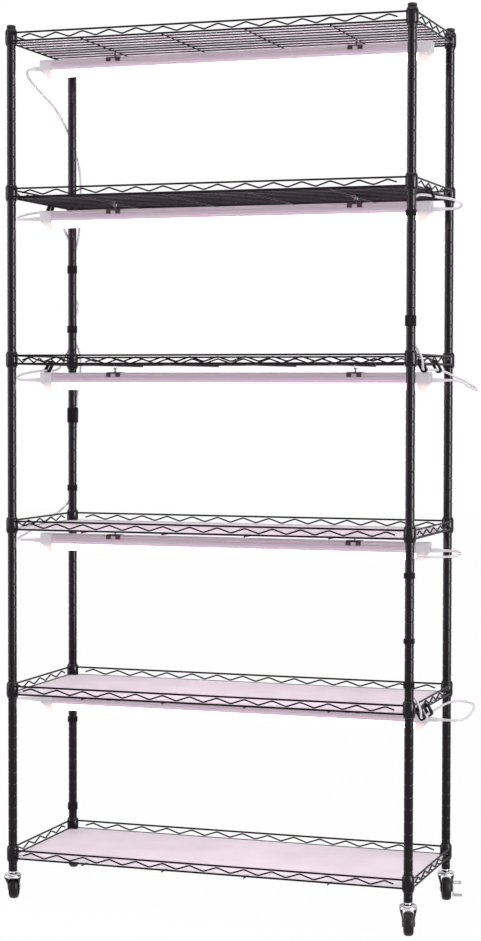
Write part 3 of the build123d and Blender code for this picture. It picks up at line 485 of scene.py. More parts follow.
# The first of several alike pieces stands for the CAD node that holds them all
SHARED_NODES = {
    "post_cap_front_left": "post_caps",
    "light_1_cap_left": "light_end_caps",
    "light_1_connector_left": "cord_connectors",
    "light_1_hook_left": "light_hooks",
    "wrap_loop_0": "cord_wraps",
    "caster_front_left_dome": "caster_stems",
}


def piece(name, mesh, body, place=Matrix(), stands_for=()):
    """A shown piece that rides on a body."""
    if name in SHARED_NODES:
        stands_for = [SHARED_NODES[name]]
    item = bpy.data.objects.new(name, mesh)
    bpy.context.scene.collection.objects.link(item)
    item.matrix_world = place
    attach(item, body)
    if stands_for:
        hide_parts(*stands_for)
    return item


def moved(x=0.0, y=0.0, z=0.0, turn=0.0):
    """A placement in millimetres with a turn about Z in degrees, as metres."""
    return Matrix.Translation((x / 1000, y / 1000, z / 1000)) @ Matrix.Rotation(math.radians(turn), 4, "Z")


def dress(name, finish_name, bevel=0.0):
    """A CAD node keeps its shape and takes a finish, with its edges eased."""
    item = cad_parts[name]
    item.data.materials.clear()
    item.data.materials.append(made_of(finish_name))
    if bevel:
        weld = item.modifiers.new("Weld", "WELD")
        weld.merge_threshold = 0.00001
        ease = item.modifiers.new("Eased edges", "BEVEL")
        ease.width = bevel
        ease.segments = 2
        ease.limit_method = "ANGLE"
        ease.angle_limit = math.radians(28)


# ---------------------------------------------------------------- cords
# From a post's axis to a cord that lies against it and to one that lies over such a cord, in millimetres
ON_POST, ON_CORD = 12.5, 19.5
# Bearings about a post, in degrees from +X: of the cords down the back left post, of the one on the front right
# post, of the stretch from light 3 to light 4 that the photograph shows beside the post, and of the two loops
BACK, FRONT, BESIDE_POST, LOOP_1_2, LOOP_3_4 = 108.7, 90, 65, 120, 95


def beside(corner, bearing, distance, z):
    """A point at a bearing and distance from a post's axis."""
    angle = math.radians(bearing)
    x, y = CORNERS[corner]
    return (x + distance * math.cos(angle), y + distance * math.sin(angle), z)


def down_back(z, distance=ON_POST):
    """A point of a cord that runs down the back left post."""
    return beside("back_left", BACK, distance, z)


def behind(lean, *places):
    """Points of a loop that leans out behind the back left post, from (distance, height)."""
    angle = math.radians(lean)
    x, y, _ = down_back(0)
    return [(x + (d - ON_POST) * math.cos(angle), y + (d - ON_POST) * math.sin(angle), z) for d, z in places]


def off_exit(level, *steps):
    """Points given by their distance beyond a light's connectors, their depth and their rise."""
    return [(math.copysign(EXIT_X + abs(x), x), y, CONNECTOR_Z[level - 1] + z) for x, y, z in steps]


def at_exit(level, side):
    """Where a cord comes out of a light's connector."""
    return (side * EXIT_X, 0, CONNECTOR_Z[level - 1])


def past_right_corner(height):
    """The way round a shelf's right front collar, from behind the post to under the side rim."""
    steps = [
        (445.5, -150.5, 26), (454, -149, 13), (460, -148, -2),
        (459.5, -143, -15), (457, -131, -21), (456, -115, -21.8),
    ]
    top = beside("front_right", FRONT, ON_POST, height + 40)
    return [top] + [(x, y, height + z) for x, y, z in steps]


def routes():
    """Centre lines of the cords from exit to far end."""
    link_1_2 = [
        (-465, 0, CONNECTOR_Z[0]), (-475, 0, CONNECTOR_Z[0]), (-483, 9, 1806), (-486, 26, 1796),
        (-482, 54, 1781), (-474, 92, 1761), (-465, 130, 1740), (-458, 165, 1706),
        (-443, 186, 1656), (-430, 189.5, 1600), (-429, 190, 1540), (-431, 189, 1480),
        (-437.5, 187, 1432),
        *behind(LOOP_1_2, (ON_CORD, 1399), (ON_CORD, 1364), (32, 1348), (50, 1336), (49, 1315),
                (29, 1306.5), (13.5, 1322)),
        down_back(1345), down_back(1428), (-454.5, 172.5, 1452), (-458, 152, 1476),
        (-456.5, 126, 1493), (-454.8, 94, 1501), (-455, 58, 1501), (-466, 38, 1499.5),
        (-489, 31, 1495.5),
        *off_exit(2, (-19.5, 22, 9), (-24, 11, 4.5), (-18, 2.5, 0.8), (-8.5, 0, 0)),
        at_exit(2, -1),
    ]
    link_2_3 = [
        at_exit(2, 1),
        *off_exit(2, (10, 0, 0), (20, -3.5, 2.5), (25.5, -13, 7), (20.5, -23, 12.5), (8, -29, 17)),
        (477, -33.5, 1501), (463, -41, 1502.5), (456.5, -54, 1503), (456, -71, 1503),
        (455, -93, 1502.8), (452, -115, 1501.5), (447, -134, 1500), (442, -147, 1494),
        beside("front_right", FRONT, ON_POST, 1480),
        *past_right_corner(SHELF_Z[2]),
        (456.2, -85, 1146.6), (456, -52, 1146.8), (456.3, -18, 1147), (456, 20, 1146.8),
        (458.5, 47, 1144.5), (467, 70, 1138.5), (483, 84, 1129.5), (503, 86, 1119.5),
        (520, 75, 1110), (529, 57, 1105), (528, 36, 1106), (519, 17, 1113),
        *off_exit(3, (23, 5, -3.5), (11, 0, 0)),
        at_exit(3, 1),
    ]
    link_3_4 = [
        at_exit(3, -1),
        *off_exit(3, (-9, 0, 0), (-19, 3.5, 2.5), (-25, 12.5, 7), (-20.5, 22.5, 12), (-8, 29, 16)),
        (-477, 33, 1144.5), (-463.5, 39.5, 1146.5), (-456.5, 51, 1147), (-456, 69, 1147),
        (-456.3, 98, 1147.4), (-457, 126, 1151), (-459.5, 145, 1159), (-460.5, 161, 1172),
        (-457.5, 173.5, 1188), (-450.5, 180, 1205), down_back(1222),
        *behind(LOOP_3_4, (ON_POST, 1275), (13.5, 1298), (29, 1313), (49, 1305), (50, 1284),
                (32, 1272), (ON_CORD, 1256), (ON_CORD, 1226)),
        (-438, 187, 1206), (-431.5, 188.5, 1186),
        (-429, 189, 1164), (-430.5, 188, 1141), (-432.5, 182, 1117), (-433.5, 178.5, 1095),
        beside("back_left", BESIDE_POST, ON_POST, 1074), beside("back_left", BESIDE_POST, ON_POST, 1018),
        beside("back_left", 87, 13.2, 955), down_back(905), down_back(866),
        (-452.5, 174.5, 849), (-458, 162, 837),
        (-465, 145, 826), (-473, 122, 815), (-483, 96, 803), (-494, 70, 791),
        (-504, 45, 780),
        *off_exit(4, (-25, 23, 3), (-21, 7, 0.8), (-11, 0, 0)),
        at_exit(4, -1),
    ]
    link_4_5 = [
        at_exit(4, 1),
        *off_exit(4, (10, 0, 0), (20.5, -3.5, -1.5), (27, -13, -4.5), (23.5, -25, -7.5), (11, -35, -9.5)),
        (479, -43.5, 760), (465, -56, 760.5), (456.5, -74, 761.5), (452.5, -96, 763),
        (448.5, -118, 764), (444, -136.5, 762), (441, -148.5, 755),
        beside("front_right", FRONT, ON_POST, 742),
        *past_right_corner(SHELF_Z[4]),
        (456.2, -80, 435.6), (456, -40, 435.8), (456.3, 0, 436), (456, 40, 436.3),
        (457, 78, 436.8), (462, 108, 437.5), (474, 129, 437.5), (491, 136, 436),
        (506, 128, 433.5), (514, 109, 430), (517, 84, 426), (517.5, 58, 421.5),
        (516, 34, 417.5),
        *off_exit(5, (27.5, 15, 1), (21, 3.5, 0.2), (10.5, 0, 0)),
        at_exit(5, 1),
    ]
    power = [
        at_exit(5, -1),
        *off_exit(5, (-10, 0, 0), (-20.5, 3.5, -0.8), (-26.5, 14, -2.5), (-25.5, 31, -4.5)),
        (-503, 53, 408), (-494, 77, 406), (-483, 101, 404), (-472, 124, 401.5),
        (-463, 145, 397), (-459, 163, 389), (-454, 177, 377.5),
        down_back(363, ON_CORD), down_back(120, ON_CORD), (-448, 190, 102), (-450, 202, 86.5), (-452, 216, 72),
        (-452.5, 230, 57.5), (-450.5, 243, 43), (-445, 253.5, 29), (-434, 259.5, 17),
        (-418, 261, 9), (-400, 260, 4.8), (-381, 259, 2.8), (-362, 258, 2.6),
    ]
    return link_1_2, link_2_3, link_3_4, link_4_5, power


def coil_points():
    """The put-away turns on the floor: in along the lower layer, up, and out along the upper one."""
    points = []
    for k in range(25):
        quarter = k / 3
        radius = COIL_RADIUS - COIL_STEP / 4 * min(quarter, 8 - quarter)
        rising = min(max((quarter - 3) / 2, 0), 1)
        angle = math.radians(30 * k - 90)
        z = FLOOR_LEVEL + LAYER * rising
        points.append((COIL_X + radius * math.cos(angle), COIL_Y + radius * math.sin(angle), z))
    return points


def cord_curve(name, points, nodes):
    """A free cord: one smooth curve through open air from its exit to its far end."""
    curve = bpy.data.curves.new(name, "CURVE")
    curve.dimensions = "3D"
    spline = curve.splines.new("NURBS")
    spline.points.add(len(points) - 1)
    for control, point in zip(spline.points, points):
        control.co = (*[c / 1000 for c in point], 1)
    spline.order_u = 3
    spline.use_endpoint_u = True
    spline.resolution_u = 8
    curve.bevel_depth = size("cord") / 2000
    curve.bevel_resolution = 5
    curve.use_fill_caps = True
    curve.materials.append(made_of("Cord jacket"))
    item = piece(name, curve, ROOT, stands_for=nodes)
    size("cord") / 1000


# Lengths of the link cords, in metres
LINK_REACHES = (1.027, 0.934, 1.08, 0.973)


class STAND_OT_cords(bpy.types.Operator):
    """Link cords from light to light, and the mains lead with its coil and plug"""

    bl_idname = "stand.cords"
    bl_label = "Cords"

    def execute(self, context):
        *links, power = routes()
        plug = piece("mains_plug", mesh_of("Mains plug", plug_form, "White plastic", "Bare steel"), ROOT,
                     stands_for=["power_plug"])
        for number, (points, reach) in enumerate(zip(links, LINK_REACHES), start=1):
            ends = f"{number}_{number + 1}"
            cord_curve(f"link_lead_{ends}", points, [f"link_cord_{ends}"])
        upper = FLOOR_LEVEL + LAYER
        whole = power + [(-346, 258, FLOOR_LEVEL)] + coil_points() + [(-314, 258, upper), (-288, 258, upper)]
        cord_curve("mains_lead", whole, ["power_cord", "power_cord_coil"])
        return {"FINISHED"}


def plug_form(bm):
    """A two-blade plug that lies flat, with a ribbed neck towards the lead."""
    place = Matrix.Translation((-276, 258, 8.4))
    block(bm, (0, -13, -8), (34, 13, 8), 3.8, 4, place)
    profile = [(2.6, -12), (2.9, -11.5)]
    for i in range(4):
        x = -10.5 + 2.4 * i
        rib, neck = 3.1 + 0.35 * i, 2.7 + 0.35 * i
        profile += [(rib, x), (rib, x + 1.3), (neck, x + 1.5), (neck, x + 2.2)]
    profile += [(4.6, 0.3), (4.6, 1)]
    lathe(bm, profile, 20, place @ Matrix.Rotation(math.radians(90), 4, "Y"))
    white = len(bm.faces)
    for side in (-6.35, 6.35):
        block(bm, (33.5, side - 0.75, -3.2), (50, side + 0.75, 3.2), 0.5, 2, place)
    second_finish(bm, white)


# ---------------------------------------------------------------- posts and shelves
# Half a groove: share of its depth, and distance from its middle along the post
GROOVE_HALF = ((0, 1.9), (0, 1.3), (0.7, 0.9), (1, 0.45))


def post_form(bm):
    """A post with a shallow ring at every inch."""
    radius, groove = size("post") / 2, size("groove")
    bottom, top = POST_FOOT, POST_TOP
    profile = [(radius - 0.9, bottom), (radius - 0.3, bottom), (radius, bottom + 0.4)]
    z = SHELF_Z[-1] - INCH
    while z < top - 3:
        if z > bottom + 3:
            profile += [(radius - groove * depth, z - rise) for depth, rise in GROOVE_HALF]
            profile += [(radius - groove * depth, z + rise) for depth, rise in reversed(GROOVE_HALF)]
        z += INCH
    profile += [(radius, top - 0.3), (radius - 0.3, top), (radius - 0.9, top)]
    profile += [(radius - 1, top - 0.2), (radius - 1, bottom + 0.2)]
    lathe(bm, profile, 32, closed=True)


def cap_form(bm):
    """A plug with a softly domed head, about the post's end."""
    profile = [
        (7.8, -14), (8.3, -13.4), (8.4, 0), (9.75, 0), (9.8, 1.2), (9.6, 2.4), (8.6, 3.5), (6.4, 4.2), (3, 4.5),
        (0.01, 4.5),
    ]
    lathe(bm, profile, 32)


class STAND_OT_posts(bpy.types.Operator):
    """The four grooved posts with their caps and caster bushes"""

    bl_idname = "stand.posts"
    bl_label = "Posts and caps"

    def execute(self, context):
        mesh = mesh_of("Grooved post", post_form, "Powder coat", angle=50)
        cap = mesh_of("Post cap", cap_form, "Black plastic")
        for name, (x, y) in CORNERS.items():
            piece(f"post_{name}_grooved", mesh, ROOT, moved(x, y), [f"post_{name}"])
            piece(f"post_cap_{name}", cap, ROOT, moved(x, y, POST_TOP))
        dress("caster_sockets", "Black plastic")
        return {"FINISHED"}


def truss_points(apexes):
    """Corners of a zigzag between the rims, with a cut-off stub at each end, as (along, up)."""
    rise = 2 * RIM_RISE - CAD_RIM
    rise -= size("truss") / math.cos(math.atan2(rise, TRUSS_PITCH / 2))
    points = []
    for i in range(apexes):
        along = (i - (apexes - 1) / 2) * TRUSS_PITCH
        points.append((along, rise / 2))
        if i < apexes - 1:
            points.append((along + TRUSS_PITCH / 2, -rise / 2))
    stub, drop = 0.6 * TRUSS_PITCH / 2, rise / 2 - 0.6 * rise
    return [(points[0][0] - stub, drop), *points, (points[-1][0] + stub, drop)]


def shelf_wires(bm):
    """Rims, zigzag trusses, cross wires and deck wires about the shelf's own level."""
    rim, truss, deck, support = (size(n) / 2 for n in ("rim", "truss", "deck", "support"))
    reach = size("collar") / 2 - 0.5
    for z in (-RIM_RISE, RIM_RISE):
        for side in (-1, 1):
            end = POST_X - math.sqrt(reach ** 2 - RIM_OUT ** 2)
            rod(bm, (-end, side * RIM_Y, z), (end, side * RIM_Y, z), rim, 14)
            end = POST_Y - math.sqrt(reach ** 2 - RIM_OUT ** 2)
            rod(bm, (side * RIM_X, -end, z), (side * RIM_X, end, z), rim, 14)
    long_way, short_way = truss_points(14), truss_points(5)
    for side in (-1, 1):
        bent_wire(bm, softened([(x, side * RIM_Y, z) for x, z in long_way], 4.5), truss, 10)
        bent_wire(bm, softened([(side * RIM_X, y, z) for y, z in short_way], 4.5), truss, 10)
    bottom = -RIM_RISE - CAD_RIM / 2
    for i in range(4):
        x = (i - 1.5) * SUPPORT_PITCH
        half = RIM_Y + rim + 3
        rod(bm, (x, -half, bottom - support), (x, half, bottom - support), support, 12)
    spacing = 2 * RIM_Y / (DECK_WIRES + 1)
    for i in range(DECK_WIRES):
        y = (i - (DECK_WIRES - 1) / 2) * spacing
        rod(bm, (-RIM_X, y, bottom + deck), (RIM_X, y, bottom + deck), deck, 10)


def collar_form(bm):
    """A corner collar with eased tapered ends and its bore."""
    outer = size("collar") / 2
    bore = size("post") / 2 + 1.6
    profile = [
        (bore, -15.3), (bore + 0.2, -15.5), (outer - 1.5, -15.5), (outer - 1.25, -15.2), (outer - 0.25, -12.2),
        (outer, -11.6), (outer, 11.6), (outer - 0.25, 12.2), (outer - 1.25, 15.2), (outer - 1.5, 15.5),
        (bore + 0.2, 15.5), (bore, 15.3),
    ]
    lathe(bm, profile, 36, closed=True)


def sleeve_form(bm):
    """Two plastic half sleeves between post and collar, with their lips above and below."""
    inner, outer = size("post") / 2 + 0.05, size("post") / 2 + 1.55
    profile = [
        (inner, -17), (outer + 0.3, -17), (outer + 0.3, -15.9), (outer, -15.6), (outer, 15.8),
        (outer - 0.4, 17), (inner, 17),
    ]
    for start in (4, 184):
        lathe(bm, profile, 18, closed=True, arc=(start, 172))


def liner_form(bm):
    """A thin sheet with a notch at each corner for the collar, about the shelf's own level."""
    half_x, half_y, notch = POST_X + 1.8, POST_Y + 1.8, 16.3
    corner = [(half_x, half_y - notch), (half_x - notch, half_y - notch), (half_x - notch, half_y)]
    outline = corner + [(-x, y) for x, y in reversed(corner)]
    outline += [(-x, -y) for x, y in outline]
    sections(bm, [[(x, y, z) for x, y in outline] for z in (-7.8, -6.85)])


class STAND_OT_shelves(bpy.types.Operator):
    """Six wire shelves with their collars, half sleeves and liners"""

    bl_idname = "stand.shelves"
    bl_label = "Shelves"

    def execute(self, context):
        wires = mesh_of("Shelf wires", shelf_wires, "Wire coat")
        collar = mesh_of("Shelf collar", collar_form, "Powder coat")
        sleeve = mesh_of("Half sleeves", sleeve_form, "Black plastic")
        for number, z in enumerate(SHELF_Z, start=1):
            piece(f"shelf_{number}_wires", wires, ROOT, moved(z=z), [f"shelf_{number}"])
            for name, (x, y) in CORNERS.items():
                piece(f"shelf_{number}_collar_{name}", collar, ROOT, moved(x, y, z))
                turn = 25 * number + (90 if y > 0 else 0)
                piece(f"shelf_{number}_sleeves_{name}", sleeve, ROOT, moved(x, y, z, turn))
            if number > 1:
                dress(f"liner_{number}", "Frosted sheet")
        top_sheet = mesh_of("Top liner", liner_form, "Frosted sheet")
        piece("liner_1_sheet", top_sheet, ROOT, moved(z=SHELF_Z[0]))
        return {"FINISHED"}


# ---------------------------------------------------------------- lights
def diffuser_form(bm):
    """The deep rounded diffuser under a channel."""
    outline = [(12, -15.9)]
    for i in range(13):
        angle = math.pi / 2 * i / 12
        outline.append((12 * math.cos(angle), -22 - 15 * math.sin(angle)))
    outline += [(-y, z) for y, z in reversed(outline[:-1])]
    sections(bm, [[(x, y, z) for y, z in outline] for x in (-LENS_END, LENS_END)])


def light_cap_form(bm):
    """An end cap at the +X end whose lower part slopes in."""
    half = [(10, 0.7), (11.4, 0.3), (13.4, -2.6), (13.7, -3.6), (13.7, -13), (12.9, -19.9), (12.7, -22)]
    half += [(12, -25.5), (10.2, -30), (7.4, -34.2), (4, -37.1), (1.6, -37.7)]
    outline = half + [(-y, z) for y, z in reversed(half)]

    def end(z):
        return 28 if z > -20 else 22 + 11 * (z + 20) / 22.7

    rings = [
        [(LENS_END, y, z) for y, z in outline],
        [(LENS_END + end(z) - 1.2, y, z) for y, z in outline],
        [(LENS_END + end(z) - 0.35, y * 0.97, -12 + (z + 12) * 0.985) for y, z in outline],
        [(LENS_END + end(z), y * 0.9, -12 + (z + 12) * 0.95) for y, z in outline],
    ]
    sections(bm, rings)


def connector_form(relief):
    """A cord's plug at the +X end with a tapered ribbed relief of some length."""

    def build(bm):
        block(bm, (437.2, -4.9, -18.4), (442.5, 4.9, -13.6), 0.6, 2)
        block(bm, (442, -5, -20), (462, 5, -12), 1.6, 3)
        for x in (448, 452, 456):
            block(bm, (x, -5.25, -18.6), (x + 1.4, 5.25, -13.4), 0.3, 1)
        turn = Matrix.Translation((461, 0, -16)) @ Matrix.Rotation(math.radians(90), 4, "Y")
        profile = [(3.5, 0)]
        ribs = max(1, int(relief / 3.6))
        for i in range(ribs):
            x = 1 + relief * (i + 0.1) / ribs
            radius = 3.5 - 0.85 * (i + 0.5) / ribs
            profile += [
                (radius, x), (radius, x + relief * 0.5 / ribs), (radius - 0.45, x + relief * 0.6 / ribs),
                (radius - 0.45, x + relief * 0.85 / ribs),
            ]
        profile.append((2.52, 1 + relief))
        lathe(bm, profile, 20, turn)

    return build


def hook_form(bm):
    """A bent wire hook about the shelf's level at its cross wire."""
    ring, support, bowl = 2.6, -11.95, -20
    points = [
        (-ring, 0, support - 3), (-ring, 0, support + ring), (ring, 0, support + ring), (ring, 0, bowl),
        (3 * ring, 0, bowl), (3 * ring, 0, bowl + ring + 3),
    ]
    bent_wire(bm, softened(points, 2.4, 6), size("hook") / 2, 12)


class STAND_OT_lights(bpy.types.Operator):
    """Five hanging lights with diffusers, end caps, clips, hooks and connectors"""

    bl_idname = "stand.lights"
    bl_label = "Lights"

    def execute(self, context):
        diffuser = mesh_of("Diffuser", diffuser_form, "Lit diffuser")
        # The end caps' peach glow is painted light.
        end_cap = mesh_of("Light end cap", light_cap_form, "Lit end cap")
        plug = mesh_of("Cord connector", connector_form(22), "White plastic")
        short_plug = mesh_of("Short connector", connector_form(3), "White plastic")
        hook = mesh_of("Light hook", hook_form, "Bright wire")
        for number, z in enumerate(LIGHT_Z, start=1):
            dress(f"light_{number}_housing", "Channel paint", 0.0004)
            piece(f"light_{number}_diffuser", diffuser, ROOT, moved(z=z), [f"light_{number}_lens"])
            for side, turn in (("right", 0), ("left", 180)):
                place = moved(z=z, turn=turn)
                piece(f"light_{number}_cap_{side}", end_cap, ROOT, place)
                if number > 1 or side == "left":
                    cord_end = plug if number > 1 else short_plug
                    piece(f"light_{number}_connector_{side}", cord_end, ROOT, place)
            for side, x in zip(("left", "right"), HANGER_XS):
                piece(f"light_{number}_hook_{side}", hook, ROOT, moved(x=x, z=SHELF_Z[number - 1]))
        dress("light_boards", "Lamp board")
        dress("light_clips", "Spring steel", 0.00025)
        return {"FINISHED"}


# ---------------------------------------------------------------- straps
# Points of the loop that a strap's overlapping end covers, and the play between a strap and what it holds
OVERLAP, PLAY = range(20, 33), 0.25
# Straps on the side rims: radius that they go round at the rim, width, and layers of tape
RIM_HOLD, SIDE_WIDTH, SIDE_LAYERS = 2.6, 12, 2.8


def hull_points(far, radius, cord_radius, count=14):
    """A taut loop round a post at the origin and a cord at a distance along +X."""
    tangent = math.acos(min(1, (radius - cord_radius) / far))
    points = []
    for i in range(count + 1):
        angle = -tangent + 2 * tangent * i / count
        points.append((far + cord_radius * math.cos(angle), cord_radius * math.sin(angle)))
    for i in range(2 * count + 1):
        angle = tangent + (2 * math.pi - 2 * tangent) * i / (2 * count)
        points.append((radius * math.cos(angle), radius * math.sin(angle)))
    return points


def band(bm, place, far, radius, cord_radius, width, layers=1):
    """A strap of tape round two round things, with its overlapping end. More layers make it thicker."""
    tape = size("tape") * layers
    half, ease = width / 2, min(0.4, tape / 3)
    section = (
        (0, -half + ease), (ease, -half), (tape - ease, -half), (tape, -half + ease),
        (tape, half - ease), (tape - ease, half), (ease, half), (0, half - ease),
    )
    rings = []
    for offset, z in section:
        loop = hull_points(far, radius + offset, cord_radius + offset)
        rings.append(ring_of(bm, [place @ Vector((x, y, z)) for x, y in loop]))
    skin_rings(bm, rings, closed_along=True)
    under = hull_points(far, radius + tape + 0.04, cord_radius + tape + 0.04)
    over = hull_points(far, radius + 1.75 * tape, cord_radius + 1.75 * tape)
    low, high = -half + 0.3, half - 0.3
    corners = ((under, low), (under, high), (over, high), (over, low))
    sections(bm, [[place @ Vector((*line[i], z)) for line, z in corners] for i in OVERLAP])


def loop_strand(lean):
    """Bearing and distance from the back left post's axis of the strand that a loop comes down to."""
    strand = Vector(behind(lean, (ON_CORD, 0))[0]) - Vector((*CORNERS["back_left"], 0))
    return math.degrees(math.atan2(strand.y, strand.x)), strand.length


def strap(name, *shape):
    """A strap as a piece of its own, from what band() takes."""
    piece(name, mesh_of(name, lambda bm: band(bm, *shape), "Strap tape"), ROOT)


# Of each wrap: name, post, bearing and distance of the cord from the post's axis, height and width
WRAPS = (
    ("wrap_loop_0", "back_left", *loop_strand(LOOP_1_2), 1378, 18),
    ("wrap_loop_1", "back_left", *loop_strand(LOOP_3_4), 1242, 16),
    ("wrap_back_0", "back_left", BESIDE_POST, ON_POST, 1046, 34),
    ("wrap_back_1", "back_left", BACK, ON_POST, 880, 14),
    ("wrap_mains_0", "back_left", BACK, ON_CORD, 347, 12),
    ("wrap_mains_1", "back_left", BACK, ON_CORD, 146, 16),
    ("wrap_front_0", "front_right", FRONT, ON_POST, 1462, 12),
    ("wrap_front_1", "front_right", FRONT, ON_POST, 1245, 22),
    ("wrap_front_2", "front_right", FRONT, ON_POST, 730, 12),
    ("wrap_front_3", "front_right", FRONT, ON_POST, 597, 10),
    ("wrap_front_4", "front_right", FRONT, ON_POST, 508, 14),
)
# Of each strap: side, shelf, y, and the x and z of the cord that it holds to the rim
SIDE_STRAPS = (
    (1, 2, -62, 456.2, 1503),
    (1, 3, -118, 456.2, 1147),
    (1, 3, 7, 456.1, 1146.9),
    (1, 5, -118, 456.2, 435.8),
    (1, 5, -54, 456.1, 435.7),
    (-1, 2, 68, -454.8, 1501),
    (-1, 3, 60, -456.2, 1147),
)


class STAND_OT_straps(bpy.types.Operator):
    """Hook-and-loop wraps round the posts and straps on the side rims"""

    bl_idname = "stand.straps"
    bl_label = "Straps"

    def execute(self, context):
        post_hold, cord_hold = size("post") / 2 + PLAY, size("cord") / 2 + PLAY
        for name, corner, bearing, far, z, width in WRAPS:
            place = Matrix.Translation((*CORNERS[corner], z)) @ Matrix.Rotation(math.radians(bearing), 4, "Z")
            strap(name, place, far, post_hold, cord_hold, width)
        for number, (side, shelf, y, x, z) in enumerate(SIDE_STRAPS):
            rim = Vector((side * RIM_X, y, SHELF_Z[shelf - 1] - RIM_RISE))
            reach = Vector((x, y, z)) - rim
            along, level = reach.normalized(), Vector((0, 1, 0))
            turn = Matrix((along, level.cross(along), level)).transposed().to_4x4()
            place = Matrix.Translation(rim) @ turn
            strap(f"strap_side_{number}", place, reach.length, RIM_HOLD, cord_hold, SIDE_WIDTH, SIDE_LAYERS)
        return {"FINISHED"}


# ---------------------------------------------------------------- casters
def dome_form(bm):
    """Stem, nut, domed plate and king pin in one turned form."""
    profile = [
        (0.01, 52), (5.8, 52), (6.4, 52.5), (6.4, 53.5), (4, 53.6), (4, 56.9), (17.6, 56.9), (18, 57.3),
        (18, 58.3), (17.4, 59), (15, 60.1), (11.5, 61.2), (8.6, 61.6), (7.5, 61.7), (7.5, 63.9), (7.2, 64),
        (5, 64), (5, 84), (3.8, 86), (0.01, 86),
    ]
    lathe(bm, profile, 36)


def fork_form(bm):
    """A pressed cup with two legs that bend in and taper to the axle. The legs take the second finish, near-black:
    painted shade on chrome.
    """
    profile = [
        (16.5, 51), (16.6, 53.2), (15.8, 54), (4.3, 54), (4.3, 56), (16.4, 56), (17.8, 55.5), (18.5, 54.2),
        (18.5, 51.2), (18.2, 51),
    ]
    lathe(bm, profile, 40, closed=True)
    cup = len(bm.faces)

    def half_span(z):
        if z > 51:
            return -8.5, 8.5
        share = (51 - z) / 26
        return -8.5 - 18.5 * share, 8.5 - 21.5 * share

    def width(z):
        return 13 + 4.6 * min(max((z - 34) / 17, 0), 1)

    levels = [54, 51, 49, 47, 45, 43, 41, 37, 33, 29, 25]
    for side in (-1, 1):
        rings = []
        for z in levels:
            low, high = half_span(z)
            outer = width(z)
            rings.append([(11, low, z), (outer, low, z), (outer, high, z), (11, high, z)])
        for step in range(1, 7):
            angle = math.radians(13 * step)
            half, z = 7 * math.cos(angle), AXLE_Z - 7 * math.sin(angle)
            low, high = -AXLE_BACK - half, -AXLE_BACK + half
            rings.append([(11, low, z), (13, low, z), (13, high, z), (11, high, z)])
        sections(bm, [[(side * x, y, z) for x, y, z in ring] for ring in rings])
    # The legs from here on take the near-black finish, painted shade on chrome.
    second_finish(bm, cup)


def on_axle():
    """The wheel's own axis: Z of a turned form becomes the caster's X, at the axle."""
    return Matrix.Translation((0, -AXLE_BACK, AXLE_Z)) @ Matrix.Rotation(math.radians(90), 4, "Y")


def wheel_form(bm):
    """A wheel with rounded shoulders, dished sides and a hub."""
    radius = size("wheel") / 2
    half = [
        (3.35, 10.5), (7.4, 10.5), (8, 10), (8.2, 7.3), (9, 7), (17, 7), (17.8, 7.3), (18.3, 9.6), (19, 10),
        (radius - 5.4, 10), (radius - 3.6, 9.5), (radius - 1.9, 8.2), (radius - 0.7, 6), (radius - 0.15, 3.6),
        (radius, 1.4),
    ]
    profile = half + [(r, -z) for r, z in reversed(half)]
    lathe(bm, profile, 56, on_axle(), closed=True)


def axle_form(braked):
    """A riveted pin with domed heads, longer at a lever's side."""
    far = 13 + (2.2 if braked else 0)

    def build(bm):
        profile = [
            (0.01, -14.6), (2.6, -14.4), (3.9, -13.8), (4.5, -13), (3, -13), (3, far), (4.5, far),
            (3.9, far + 0.8), (2.6, far + 1.4), (0.01, far + 1.6),
        ]
        lathe(bm, profile, 24, on_axle())

    return build


class STAND_OT_casters(bpy.types.Operator):
    """Four swivel casters, the back two with a brake rocker"""

    bl_idname = "stand.casters"
    bl_label = "Casters"

    def execute(self, context):
        dome = mesh_of("Caster dome", dome_form, "Chrome plate")
        fork = mesh_of("Caster fork", fork_form, "Chrome plate", "Dark chrome", angle=40)
        wheel = mesh_of("Caster wheel", wheel_form, "Wheel plastic", angle=40)
        for name, (x, y) in CORNERS.items():
            place = moved(x, y, 0, CASTER_TURN + (180 if x < 0 else 0))
            braked = name.startswith("back")
            piece(f"caster_{name}_dome", dome, ROOT, moved(x, y))
            piece(f"caster_{name}_yoke", fork, f"swivel_{name}", place, [f"caster_{name}_fork"])
            axle = mesh_of(f"Caster axle {name}", axle_form(braked), "Bare steel")
            piece(f"caster_{name}_pin", axle, f"swivel_{name}", place, [f"caster_{name}_axle"])
            piece(f"caster_{name}_roller", wheel, f"wheel_{name}", place, [f"caster_{name}_wheel"])
            if braked:
                dress(f"caster_{name}_brake", "Brushed lever", 0.0004)
        return {"FINISHED"}


# ---------------------------------------------------------------- stage
def seen_rays(tree):
    """One for the rays that see the background: from the camera, in gloss and through clear pieces."""
    rays = node(tree, "LightPath").outputs
    seen = maths(tree, "ADD", rays["Is Camera Ray"], rays["Is Glossy Ray"])
    return maths(tree, "ADD", seen, rays["Is Transmission Ray"], clamp=True)


def seen_white(tree, share, own, white_kind, end):
    """White to the rays that see the background, for a share of it, and a shader's own light to all others."""
    own_light = tree.nodes[own].outputs[0]
    white = node(tree, white_kind, Color=(1, 1, 1, 1), Strength=1.0).outputs[0]
    mix = node(tree, "MixShader", maths(tree, "MULTIPLY", seen_rays(tree), share), own_light, white)
    tree.links.new(mix.outputs["Shader"], tree.nodes[end].inputs["Surface"])


